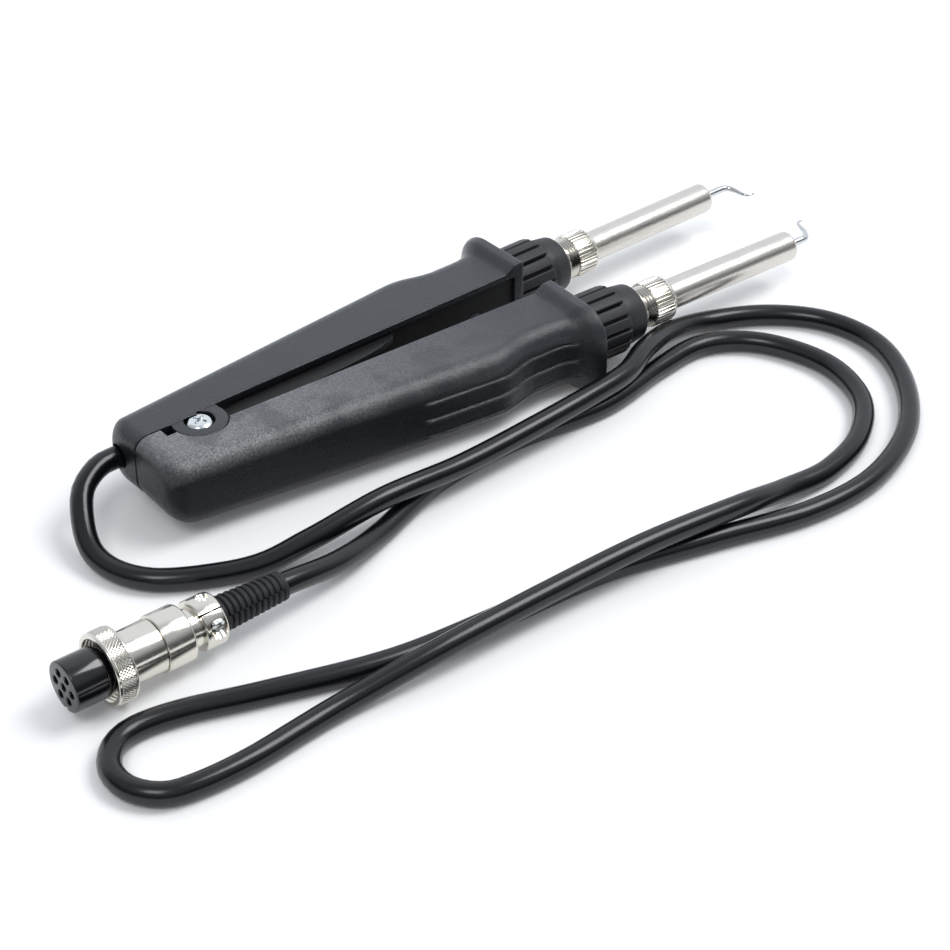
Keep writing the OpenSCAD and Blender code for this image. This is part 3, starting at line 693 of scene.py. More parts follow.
def rows_tree():
    """Copies the piece round the X axis, in rows along it that may be staggered and may taper."""
    tree, sockets = new_tree("rows_round_axis", {
        "Count": "Int", "Rows": "Int", "Row pitch": "Float", "Row turn": "Float", "First scale": "Float",
        "Last scale": "Float"})
    value = {"index": add_node(tree, "GeometryNodeInputIndex").outputs[0]}
    value.update({key: sockets[key] for key in ("Count", "Rows", "Row pitch", "Row turn")})
    for key, operation, a, b in (
            ("total", "MULTIPLY", "Count", "Rows"),
            ("share", "DIVIDE", "index", "Count"),
            ("row", "FLOOR", "share", 0.0),
            ("around", "MULTIPLY", "share", 2 * math.pi),
            ("stagger", "MULTIPLY", "row", "Row turn"),
            ("turn", "ADD", "around", "stagger"),
            ("along", "MULTIPLY", "row", "Row pitch"),
            ("last", "SUBTRACT", "Rows", 1.0),
            ("span", "MAXIMUM", "last", 1.0),
            ("part", "DIVIDE", "row", "span")):
        value[key] = add_node(
            tree, MATH, {"operation": operation}, {0: value[a], 1: value.get(b, b)}).outputs[0]
    line = add_node(
        tree, "GeometryNodeMeshLine", {"mode": "OFFSET"},
        {"Count": value["total"], "Offset": (0.0, 0.0, 0.0)})
    spin = add_node(tree, JOINED, None, {"X": value["turn"]})
    shift = add_node(tree, JOINED, None, {"X": value["along"]})
    size = add_node(
        tree, MIX, {"data_type": "FLOAT"},
        {0: value["part"], 2: sockets["First scale"], 3: sockets["Last scale"]}).outputs[0]
    taper = add_node(tree, JOINED, None, {"X": 1.0, "Y": size, "Z": size})
    points = add_node(
        tree, "GeometryNodeSetPosition", None, {"Geometry": line.outputs["Mesh"], "Offset": shift.outputs[0]})
    copies = add_node(
        tree, "GeometryNodeInstanceOnPoints", None,
        {"Points": points.outputs["Geometry"], "Instance": sockets["Geometry"], "Rotation": spin.outputs[0],
         "Scale": taper.outputs[0]})
    return close_tree(tree, copies.outputs["Instances"], sockets)


def thread_tree():
    """A screw thread of diamond section along the X axis."""
    tree, sockets = new_tree(
        "screw_thread", dict.fromkeys(("Start", "Radius", "Pitch", "Turns", "Depth"), "Float"))
    rise = add_node(tree, MATH, {"operation": "MULTIPLY"}, {0: sockets["Pitch"], 1: sockets["Turns"]})
    spiral = add_node(
        tree, "GeometryNodeCurveSpiral", None,
        {"Resolution": 72, "Rotations": sockets["Turns"], "Start Radius": sockets["Radius"],
         "End Radius": sockets["Radius"], "Height": rise.outputs[0]})
    level = add_node(
        tree, "GeometryNodeSetCurveNormal", {"mode": "Z_UP"}, {"Curve": spiral.outputs["Curve"]})
    section = add_node(
        tree, "GeometryNodeCurvePrimitiveCircle", {"mode": "RADIUS"},
        {"Resolution": 4, "Radius": sockets["Depth"]})
    ridge = add_node(
        tree, "GeometryNodeCurveToMesh", None,
        {"Curve": level.outputs["Curve"], "Profile Curve": section.outputs["Curve"], "Fill Caps": True})
    start = add_node(tree, JOINED, None, {"X": sockets["Start"]})
    laid = add_node(
        tree, "GeometryNodeTransform", None,
        {"Geometry": ridge.outputs["Mesh"], "Translation": start.outputs[0],
         "Rotation": (0.0, math.pi / 2, 0.0)})
    return close_tree(tree, laid.outputs["Geometry"], sockets)


trees = {}
ONE_ROW = {"Rows": 1, "Row pitch": 0.0, "Row turn": 0.0, "First scale": 1.0, "Last scale": 1.0}


def grow(piece, kind, finish, sizes, body=None):
    """Runs a node tree on the piece with its inputs set by identifier, and leaves a plain mesh."""
    values = {**ONE_ROW, **sizes, "Finish": materials[finish]}
    if body:
        values["Body"] = body
    modifier = piece.modifiers.new("grow", "NODES")
    modifier.node_group = trees[kind]
    for item in trees[kind].interface.items_tree:
        if item.in_out == "INPUT" and item.name in values:
            modifier[item.identifier] = values[item.name]
    bake(piece)
    if body:
        drop(body)
    return piece


# The cord


def cord_route(radius):
    """The cord's middle line: the listed points of its route, joined by one smooth curve above the table."""
    r = radius
    hand = [
        CORD_EXIT, CORD_OUT,
        (-119.6, 9.8, 14.2), (-127.4, 4.6, 10.9), (-132.6, -9.5, r + 1), (-126, -25.5, r),
        (-105, -36.8, r + 0.2), (-88, -40, r + 3.2), (-66, -41.2, r + 6.6), (-40, -40.4, r + 5),
        (-14, -39.2, r + 5.5), (7, -38, r + 6.4), (21, -35.8, r + 6.5), (33, -29.9, r + 6.4),
        (48, -24, r + 3.3), (63, -23.4, r + 0.5), (79, -31, r), (90.3, -44.5, r), (92.5, -62, r),
        (84, -80.5, r), (67.5, -97, r), (45, -106.6, r), (21, -107, r),
        (-6, -100, r), (-36, -93, r), (-68, -90.8, r), (-98, -87.6, r), (-128, -78.6, r), (-147, -72, r),
        (-159, -70, r), (-166.3, -72.4, r), (-170.9, -78.6, r), (-170.9, -86.4, r), (-166.3, -92.6, r),
        (-159, -95, r), (-144, -95.6, r),
        (-118, -93.6, r + 0.4), (-88, -95.6, r + 4.3), (-56, -95.8, r + 5.3), (-26, -97.2, r + 6.5),
        (4, -99, r + 5.3), (22, -97.4, r + 1.4),
        (38, -96.8, r), (55, -91.2, r), (69, -78.4, r), (74, -60, r), (67.5, -41, r), (54, -31.4, r),
        (36, -32.4, r), (12, -36.9, r), (-18, -34.6, r), (-45, -36.8, r), (-70, -45.3, r + 0.1),
        (-88, -51.6, r + 3), BOOT_OUT, CLAMP_IN,
    ]
    return [
        Vector((q.x, q.y, max(q.z, r)))
        for q, _ in through(hand, lambda length: max(2, round(length / CORD_STEP)))]


class TWEEZERS_OT_cord(bpy.types.Operator):
    """Lays the cord from the far arm's port to the plug's clamp"""

    bl_idname = "tweezers.cord"
    bl_label = "Cord"

    def execute(self, context):
        radius = context.scene.tweezer_sizes.cord_diameter / MM / 2
        route = cord_route(radius)
        curve = bpy.data.curves.new("cord_jacket", "CURVE")
        curve.dimensions = "3D"
        spline = curve.splines.new("POLY")
        spline.points.add(len(route) - 1)
        for point, q in zip(spline.points, route):
            point.co = (*(q * MM), 1.0)
        curve.bevel_depth = radius * MM
        curve.bevel_resolution = 6
        curve.use_fill_caps = True
        curve.materials.append(materials["cord_pvc"])
        spline.use_smooth = True
        piece = bpy.data.objects.new("cord_jacket", curve)
        context.scene.collection.objects.link(piece)
        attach(piece, "far_arm")
        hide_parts("cord")
        return {"FINISHED"}


# The arms


def arm_flare(x):
    """0 behind the finger waist and 1 at the guard."""
    return smooth(max((x - FLARE_X) / (GRIP_LEN - 0.5 - FLARE_X), 0.0) ** FLARE_POWER)


def arm_width(x):
    """From the centre plane to an arm's outer face."""
    def plain(at):
        if at < KNEE_X:
            return mix(PIVOT_W, KNEE_W, at / KNEE_X)
        if at < WAIST_X:
            return mix(KNEE_W, WAIST_W, smooth((at - KNEE_X) / (WAIST_X - KNEE_X)))
        return mix(WAIST_W, GUARD_W, arm_flare(at))
    if KNEE_X - 6 < x < FLARE_X - 6:
        return sum(plain(x + step) for step in (-3, -1.5, 0, 1.5, 3)) / 5
    return plain(x)


def arm_lip(x):
    """How far the guard stands above and below the arm."""
    return GUARD_LIP * smooth((x - LIP_X) / (GUARD_X - LIP_X))


def arm_rise(x):
    """How far the underside rises towards the hinge."""
    return REAR_RISE * max(0.0, 1 - x / RISE_X)


def arm_tail(x, radius):
    """How far the rear end draws in where it is rounded."""
    d = x + REAR_LEN
    return radius - math.sqrt(radius ** 2 - (radius - d) ** 2) if d < radius else 0.0


def arm_nose(x):
    """The same at the guard's front edge."""
    d = x - GRIP_LEN + NOSE_R
    return NOSE_R - math.sqrt(max(NOSE_R ** 2 - d ** 2, 0)) if d > 0 else 0.0


def grip_rise(x, z, height):
    """The grip grooves in an arm's side: each is cut in under an edge and has a raised lip below it."""
    fade = smooth((x - GRIP_FROM) / 2) * smooth((GRIP_TO - x) / 2)
    for line in GRIP_LINES:
        u = z - line
        if 0.1 <= u < 0.7:
            return -fade * height * 0.8 * math.sin(math.pi * (u - 0.1) / 0.6) ** 0.7
        if -0.25 < u < 0.1:
            return fade * height * 0.6 * smooth((0.1 - u) / 0.35)
        if -0.9 < u <= -0.25:
            return fade * height * 0.6 * smooth((u + 0.9) / 0.65)
    return 0.0


def side_heights():
    """Heights at which an arm's outer side is drawn, close together at the grip grooves."""
    steps = (
        -0.9, -0.72, -0.55, -0.4, -0.25, -0.14, -0.04, 0.04, 0.1, 0.14, 0.22, 0.32, 0.45, 0.56, 0.65, 0.7)
    heights = {4.9, 8.6, 9.6, 10.4, 13.6, 14.6, 15.6, 19.2, 20.2, 21.0}
    for line in GRIP_LINES:
        heights |= {round(line + step, 3) for step in steps}
    return sorted(heights)


SIDE_HEIGHTS = side_heights()
SIDE_SIN = math.sin(math.radians(EDGE_TURN))
SIDE_LOW = LOW + EDGE_R - EDGE_R * SIDE_SIN
SIDE_HIGH = TOP - EDGE_R + EDGE_R * SIDE_SIN


def arm_ring(x, split, height):
    """One section of an arm, from its inner lower edge round the outside to its inner upper edge."""
    lip = arm_lip(x)
    draw = arm_nose(x)
    w = arm_width(x) - arm_tail(x, REAR_R) - draw
    lo = LOW - min(lip, LOW) + arm_rise(x) + arm_tail(x, REAR_LOW_R) + draw
    hi = TOP + lip - arm_tail(x, REAR_TOP_R) - draw
    e = min(mix(EDGE_R, GUARD_R, arm_flare(x)), (hi - lo) / 2 - 0.05)
    inner = (split - x * math.sin(OPEN_HALF)) / math.cos(OPEN_HALF) if x < 1 else HALF_GAP
    c = RIM_R
    ring = [(inner + c + c * math.cos(a), lo + c + c * math.sin(a)) for a in arc(180, 270, 4)]
    ring += [(inner + c + RIM_FLAT, lo), (w - e - RIM_FLAT, lo)]
    ring += [(w - e + e * math.cos(a), lo + e + e * math.sin(a)) for a in arc(-90, -EDGE_TURN, 9)]
    side_lo = lo + e - e * SIDE_SIN
    side_hi = hi - e + e * SIDE_SIN
    for ref in SIDE_HEIGHTS:
        z = mix(side_lo, side_hi, (ref - SIDE_LOW) / (SIDE_HIGH - SIDE_LOW))
        over = (z - hi + e) / e if z > hi - e else ((z - lo - e) / e if z < lo + e else 0.0)
        reach = math.sqrt(1 - over * over)
        rise = grip_rise(x, ref, height)
        ring.append((w - e + (e + rise) * reach, z + rise * over))
    ring += [(w - e + e * math.cos(a), hi - e + e * math.sin(a)) for a in arc(EDGE_TURN, 90, 9)]
    ring += [(w - e - RIM_FLAT, hi), (inner + c + RIM_FLAT, hi)]
    ring += [(inner + c + c * math.cos(a), hi - c + c * math.sin(a)) for a in arc(90, 180, 4)]
    return [(x, y, z) for y, z in ring]


def arm_stations():
    """Where an arm's sections stand: close together at the rear end, the grip and the guard."""
    tail = (0, 0.06, 0.2, 0.4, 0.7, 1.05, 1.5, 2.0, 2.6, 3.2, 3.8, 4.5, 5.3, 6.1, 6.9, 7.7)
    stations = [d - REAR_LEN for d in tail] + [0.95, 1.05, 20.0, 40.0, 53.5]
    stations += [54.5 + 0.75 * k for k in range(69)]
    stations += [LIP_X + (GUARD_X - LIP_X) * k / 12 for k in range(13)]
    stations += [111.0] + [GRIP_LEN - NOSE_R + NOSE_R * math.sin(a) for a in arc(0, 90, 6)]
    return sorted(stations)


def arm_cavity():
    """Room behind an arm's cover."""
    back, bend, front = CAVITY_X
    outline = [
        (back, HALF_GAP - 1), (back, arm_width(back) - WALL), (bend, arm_width(bend) - WALL),
        (WAIST_X, WAIST_W - WALL), (front, WAIST_W - WALL), (front, HALF_GAP - 1)]
    return prism(outline, *CAVITY_Z)


def heater_bore():
    """Room for the heater's leads and the collar's spigot."""
    front = GRIP_LEN + 1
    bore = [
        (LEADS_X, 0), (LEADS_X, LEADS_R), (SEAT_X, LEADS_R), (SEAT_X, SEAT_R), (front, SEAT_R), (front, 0)]
    return moved(turned(bore), Matrix.Translation((0, AXIS_Y, MID)))


def ear(z0, z1):
    """Hinge ear with rounded edges."""
    return turned(rounded([(z0, 0, 0), (z0, EAR_R, 0.2), (z1, EAR_R, 0.35), (z1, 0, 0)]), 128, True)


def ear_tie(z0, z1):
    """Block that ties an ear to its arm, a hair thinner than the ear."""
    return box(-EAR_TIE, EAR_TIE, 0, HALF_GAP + 2, z0 + 0.01, z1 - 0.01)


def shell_blank(name, split, height):
    return new_object(name, *loft([arm_ring(x, split, height) for x in arm_stations()]))


def shell_common(piece):
    """Cuts what both arms have: the cavity, the cover's recess, the heater's bore and room for the spring."""
    play = COVER_PLAY
    recess = box(
        COVER_X[0] - play, COVER_X[1] + play, -2, COVER_IN + COVER_T + play, COVER_Z[0] - play,
        COVER_Z[1] + play)
    legs = box(0, 11.5, -26, HALF_GAP + 0.7, LOW_EAR, KNUCKLE_Z)
    carve(piece, [arm_cavity(), recess, heater_bore(), legs])


class TWEEZERS_OT_arms(bpy.types.Operator):
    """Makes the two moulded arms with their finger guards, grip grooves and hinge"""

    bl_idname = "tweezers.arms"
    bl_label = "Arms"

    def execute(self, context):
        height = context.scene.tweezer_sizes.grip_line / MM
        self.far_arm(height)
        self.near_arm(height)
        return {"FINISHED"}

    def far_arm(self, height):
        piece = shell_blank("far_arm_moulding", SPLIT_FAR, height)
        top = TOP - EAR_DROP
        carve(piece, [
            ear(HIGH_EAR, top), ear_tie(HIGH_EAR, top), ear(LOW, LOW_EAR), ear_tie(LOW, LOW_EAR),
            post(FOOT_R, 0, LOW + 0.5)], "UNION")
        shell_common(piece)
        hexagon = [(NUT_POCKET_R * math.cos(a), NUT_POCKET_R * math.sin(a)) for a in arc(0, 300, 5)]
        port = turned([
            (-REAR_LEN - 1, 0), (-REAR_LEN - 1, PORT_R + 1.1), (-REAR_LEN, PORT_R + 0.6),
            (0.6 - REAR_LEN, PORT_R), (14.5, PORT_R), (14.5, 0)])
        carve(piece, [
            post(KNUCKLE_R + GAP, LOW_EAR, HIGH_EAR), post(SHANK_HOLE_R, -1, TOP + 1, 0, 48),
            post(HEAD_R + 0.45, 21.8, top + 0.02, 0.25), prism(hexagon, -1, NUT_POCKET_Z),
            moved(port, Matrix.Translation((0, PORT_Y, PORT_Z)))])
        settle(piece, "far_nylon", "far_arm", "far_shell", arm_place(1))

    def near_arm(self, height):
        piece = shell_blank("near_arm_moulding", SPLIT_NEAR, height)
        knuckle = new_object("knuckle", *post(KNUCKLE_R, LOW_EAR + GAP, HIGH_EAR - GAP))
        carve(knuckle, [box(-20, 20, HALF_GAP + 1, 40, 0, TOP)])
        carve(piece, [taken(knuckle)], "UNION")
        shell_common(piece)
        clear = EAR_R + GAP
        notch = moved(
            box(-EAR_R - 3.2, 0.8 - EAR_R, -4, 1.6, HIGH_EAR - GAP, TOP + 1),
            Matrix.Rotation(-OPEN_HALF, 4, "Z"))
        carve(piece, [
            post(clear, HIGH_EAR - GAP, TOP + 0.02, 0.2), post(clear, -1, LOW_EAR + GAP),
            post(KNUCKLE_R + GAP, LOW_EAR, KNUCKLE_Z), post(BUSH_HOLE_R, 0, TOP, 0, 48),
            notch])
        settle(piece, "near_nylon", "near_arm", "near_shell", arm_place(-1))


class TWEEZERS_OT_covers(bpy.types.Operator):
    """Makes the far arm's cover with the fin that hides the wires in front of the hinge"""

    bl_idname = "tweezers.covers"
    bl_label = "Far cover"

    def execute(self, context):
        inner = COVER_IN
        piece = new_object("far_cover_finned", *box(*COVER_X, inner, inner + COVER_T, *COVER_Z))
        carve(piece, [self.fin()], "UNION")
        across = Matrix.Rotation(math.pi / 2, 4, "Z")
        screw = COVER_HOLE_R
        drills = [(x, -1, radius, 3, radius) for x, radius in [(x, screw) for x in COVER_SCREWS] + [LOOM_HOLE]]
        drills += [(x, -0.5, 2.9, 1.1, screw) for x in COVER_SCREWS]
        tools = []
        for x, start, wide, end, narrow in drills:
            hole = turned(
                [(inner + start, 0), (inner + start, wide), (inner + end, narrow), (inner + end, 0)], 40)
            tools.append(moved(hole, Matrix.Translation((x, 0, MID)) @ across))
        carve(piece, tools)
        # The cover's nearly black finish stands partly for painted shade in the gap
        settle(piece, "cover_nylon", "far_arm", "far_cover", arm_place(1))
        return {"FINISHED"}

    def fin(self):
        """Level plate from the hinge forward, with a rounded front and its upper edge drawn in."""
        front = FIN_BEND + FIN_REACH
        root = COVER_IN + 0.5
        plan = [(FIN_BACK, root), (FIN_BACK, -2.2), (FIN_BEND, -1.1)]
        plan += [
            (FIN_BEND + FIN_REACH * math.cos(a), COVER_IN + (COVER_IN + 1.1) * math.sin(a))
            for a in arc(-84, 0, 14)]
        plan.append((front, root))
        rings = []
        for z, draw in FIN_LAYERS:
            inset = [(x + draw * ((x < FIN_BACK + 3) - (x > front - 5)), y + draw * (y < 1)) for x, y in plan]
            rings.append([(x, y, z) for x, y in inset])
        return loft(rings)


# The heater heads


class TWEEZERS_OT_collars(bpy.types.Operator):
    """Makes the ribbed collars that carry the heaters"""

    bl_idname = "tweezers.collars"
    bl_label = "Collars"

    def execute(self, context):
        count = context.scene.tweezer_sizes.collar_ribs
        half = math.pi * RIB_R / count - 0.52
        for side, name in SIDES:
            body = lathe("collar_body", [
                (COLLAR_X, 4.8, 0), (COLLAR_X, 7.45, 0), (RIB_X, 7.45, 0), (RIB_X, COLLAR_R, 0.1),
                (RIB_END - 1.2, COLLAR_R, 0.2), (RIB_END - 0.7, 8.6, 0.5), (RIB_END + 2.2, 8.65, 3.0),
                (COLLAR_END - 1.0, COLLAR_R, 0.9), (COLLAR_END, 7.1, 0.25), (COLLAR_END, 6.0, 0.1),
                (COLLAR_STOP, 6.0, 0), (COLLAR_STOP, 4.8, 0)])
            rib = new_object(name + "_collar_ribbed", *loft([
                self.rib_section(x, half, high) for x, high in self.rib_outline()]))
            grow(rib, "rows", "collar_plastic", {"Count": count}, body)
            settle(rib, "collar_plastic", name + "_arm", name + "_collar", axis_place(side))
        return {"FINISHED"}

    def rib_outline(self):
        """Stations along a rib with its height there: upright at the guard, rounded at the front end."""
        bow = 0.8
        front = [
            (RIB_END - bow + bow * math.sin(a), RIB_R - bow + bow * math.cos(a)) for a in arc(0, 85, 6)]
        return [(RIB_X, RIB_R - 0.2), (RIB_X + 0.2, RIB_R)] + front + [(RIB_END, 8.0)]

    def rib_section(self, x, half, high):
        low, c = 7.4, 0.35
        crown = [(half - c + c * math.cos(a), high - c + c * math.sin(a)) for a in arc(0, 90, 4)]
        crown += [(c - half + c * math.cos(a), high - c + c * math.sin(a)) for a in arc(90, 180, 4)]
        return [(x, y, z) for y, z in [(-half, low), (half, low)] + crown]


class TWEEZERS_OT_clamps(bpy.types.Operator):
    """Makes the threaded nipples and the knurled clamp nuts"""

    bl_idname = "tweezers.clamps"
    bl_label = "Nipples and clamp nuts"

    def execute(self, context):
        sizes = context.scene.tweezer_sizes
        for side, name in SIDES:
            self.nipple(side, name, sizes.thread_pitch / MM)
            self.nut(side, name, sizes.nut_teeth)
        return {"FINISHED"}

    def nipple(self, side, name, pitch):
        seat, back = COLLAR_END + 0.05, FLANGE_END - 0.7
        body = lathe("nipple_body", [
            (COLLAR_STOP + 0.1, 4.5, 0), (COLLAR_STOP + 0.1, THREAD_R, 0), (seat, THREAD_R, 0),
            (seat, 6.7, 0.25), (back, 6.7, 0.25), (back, 5.4, 0.1), (THREAD_END, 5.4, 0.2),
            (THREAD_END, 4.5, 0.1)])
        piece = new_object(name + "_nipple_threaded", *box(0, 0.01, 0, 0.01, 0, 0.01))
        grow(piece, "thread", "nickel_brass", {
            "Start": FLANGE_END - 0.3, "Radius": THREAD_R, "Pitch": pitch,
            "Turns": (THREAD_END - FLANGE_END - 0.1) / pitch, "Depth": 0.45}, body)
        settle(piece, "nickel_brass", name + "_arm", name + "_nipple", axis_place(side), 25)

    def nut(self, side, name, count):
        body = lathe("nut_body", [
            (NUT_X, 6.02, 0.02), (NUT_X, 6.06, 0.02), (NUT_X + 0.3, 6.12, 0.1), (NUT_END - 2.0, 6.12, 0.05),
            (NUT_END - 1.7, 6.5, 0.1), (NUT_END - 1.2, 6.4, 0.5), (NUT_END, 5.3, 0.3), (NUT_END, 4.55, 0.15),
            (NUT_END - 1.6, 4.55, 0), (NUT_END - 1.6, 5.95, 0)])
        piece = new_object(name + "_nut_knurled", *loft([
            self.tooth_section(x, high, count) for x, high in (
                (NUT_X, 6.4), (NUT_X + 0.2, 6.55), (NUT_X + 0.45, NUT_R), (NUT_END - 1.9, NUT_R),
                (NUT_END - 1.65, 6.56), (NUT_END - 1.45, 6.4))]))
        grow(piece, "rows", "nickel_brass", {"Count": count}, body)
        settle(piece, "nickel_brass", name + "_clamp_nut", name + "_nut", axis_place(side), 25)

    def tooth_section(self, x, high, count):
        half = math.pi * 6.6 / count * 0.92
        crown = half * 0.42
        foot = crown * 1.35
        return [(x, y, z) for y, z in (
            (-half, 5.98), (half, 5.98), (half, 6.08), (foot, high - 0.1), (crown, high - 0.02), (0.0, high),
            (-crown, high - 0.02), (-foot, high - 0.1), (-half, 6.08))]


class TWEEZERS_OT_tips(bpy.types.Operator):
    """Makes the enclosure tubes and the bent tips"""

    bl_idname = "tweezers.tips"
    bl_label = "Tubes and tips"

    def execute(self, context):
        back, neck = THREAD_END + 0.1, NUT_END - 1.7
        for side, name in SIDES:
            lean = 0.0 if name == "far" else NEAR_LEAN
            tube = lathe(name + "_tube_drawn", [
                (back, TUBE_BORE, 0), (back, 5.7, 0), (neck, 5.7, 0.1), (neck, TUBE_R, 0),
                (TUBE_END, TUBE_R, 2.0), (TUBE_END, 1.35, 0.2), (TUBE_END - 0.8, 1.35, 0),
                (TUBE_END - 1.5, TUBE_BORE, 0)], 9, 128)
            settle(tube, "stainless", name + "_head", name + "_tube", axis_place(side))
            tip = new_object(name + "_tip_bent", *self.tip_shape(lean))
            settle(tip, "plated_tip", name + "_head", name + "_tip", arm_place(side), 40)
        return {"FINISHED"}

    def tip_shape(self, lean):
        """Round wire that thins along a bent line, in to the centre and then forward to a point."""
        shank, end, point = TIP_R
        bend = TIP_X - TIP_BACK
        soon = bend - lean
        hand = [
            (188, AXIS_Y), (TUBE_END + 1, AXIS_Y), (soon - 2.6, AXIS_Y), (soon - 1.1, AXIS_Y - 0.4),
            (soon - 0.1, AXIS_Y - 1.5), (mix(soon, bend, 0.4) + 0.3, AXIS_Y - 3),
            (mix(soon, bend, 0.75) + 0.4, mix(AXIS_Y, TIP_Y, 0.6)),
            (bend + 0.6, TIP_Y + 1.5), (bend + 1.2, TIP_Y + 0.5), (bend + 2.1, TIP_Y), (TIP_X, TIP_Y)]
        line = [
            (q.x, q.y, MID, mix(shank, end, smooth(share))) for q, share in through(hand, lambda length: 8)]
        return wire(line[:-1] + [(*line[-1][:3], point)])


# The hinge


class TWEEZERS_OT_hinge(bpy.types.Operator):
    """Makes the hinge screw with its cross recess, and the return spring"""

    bl_idname = "tweezers.hinge"
    bl_label = "Hinge screw and spring"

    def execute(self, context):
        self.screw()
        self.spring()
        return {"FINISHED"}

    def screw(self):
        base = HEAD_TOP - HEAD_H
        piece = lathe("hinge_screw_zinc", [
            (0.9, 0, 0), (0.9, 1.5, 0.3), (base, 1.5, 0), (base, HEAD_R, 0.15), (base + 1.0, HEAD_R, 0.6),
            (HEAD_TOP - 0.25, HEAD_R - 0.8, 0.8), (HEAD_TOP, 1.2, 0.8), (HEAD_TOP, 0, 0)], 6, 96, True)
        arm = loft([
            [(x, y, HEAD_TOP - depth) for x, y in ((-long, -wide), (long, -wide), (long, wide), (-long, wide))]
            for depth, long, wide in ((1.2, 1.0, 0.26), (-0.5, 2.7, 0.46))])
        carve(piece, [moved(arm, Matrix.Rotation(turn, 4, "Z")) for turn in (0.5, 0.5 + math.pi / 2)])
        settle(piece, "zinc_screw", "far_arm", "pivot_screw", PIVOT_PLACE, 30)

    def spring(self):
        """Torsion spring round the bush: one leg lies along each arm."""
        spread = 1.41 / SPRING_LEG
        leg = (3.0, 7.0, 14.0, SPRING_LEG)
        line = [(x, SPRING_R + x * spread, SPRING_Z) for x in reversed(leg)]
        line += [
            (SPRING_R * math.cos(a), SPRING_R * math.sin(a),
             SPRING_Z + SPRING_PITCH * (a - math.pi / 2) / (2 * math.pi))
            for a in arc(90, 990, 75)]
        line += [(x, -SPRING_R - x * spread, SPRING_Z + 2.5 * SPRING_PITCH) for x in leg]
        piece = new_object("return_spring_wound", *wire([(x, y, z, SPRING_WIRE) for x, y, z in line]))
        settle(piece, "spring_steel", None, "return_spring", PIVOT_PLACE, 40)
        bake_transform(piece)


# The plug


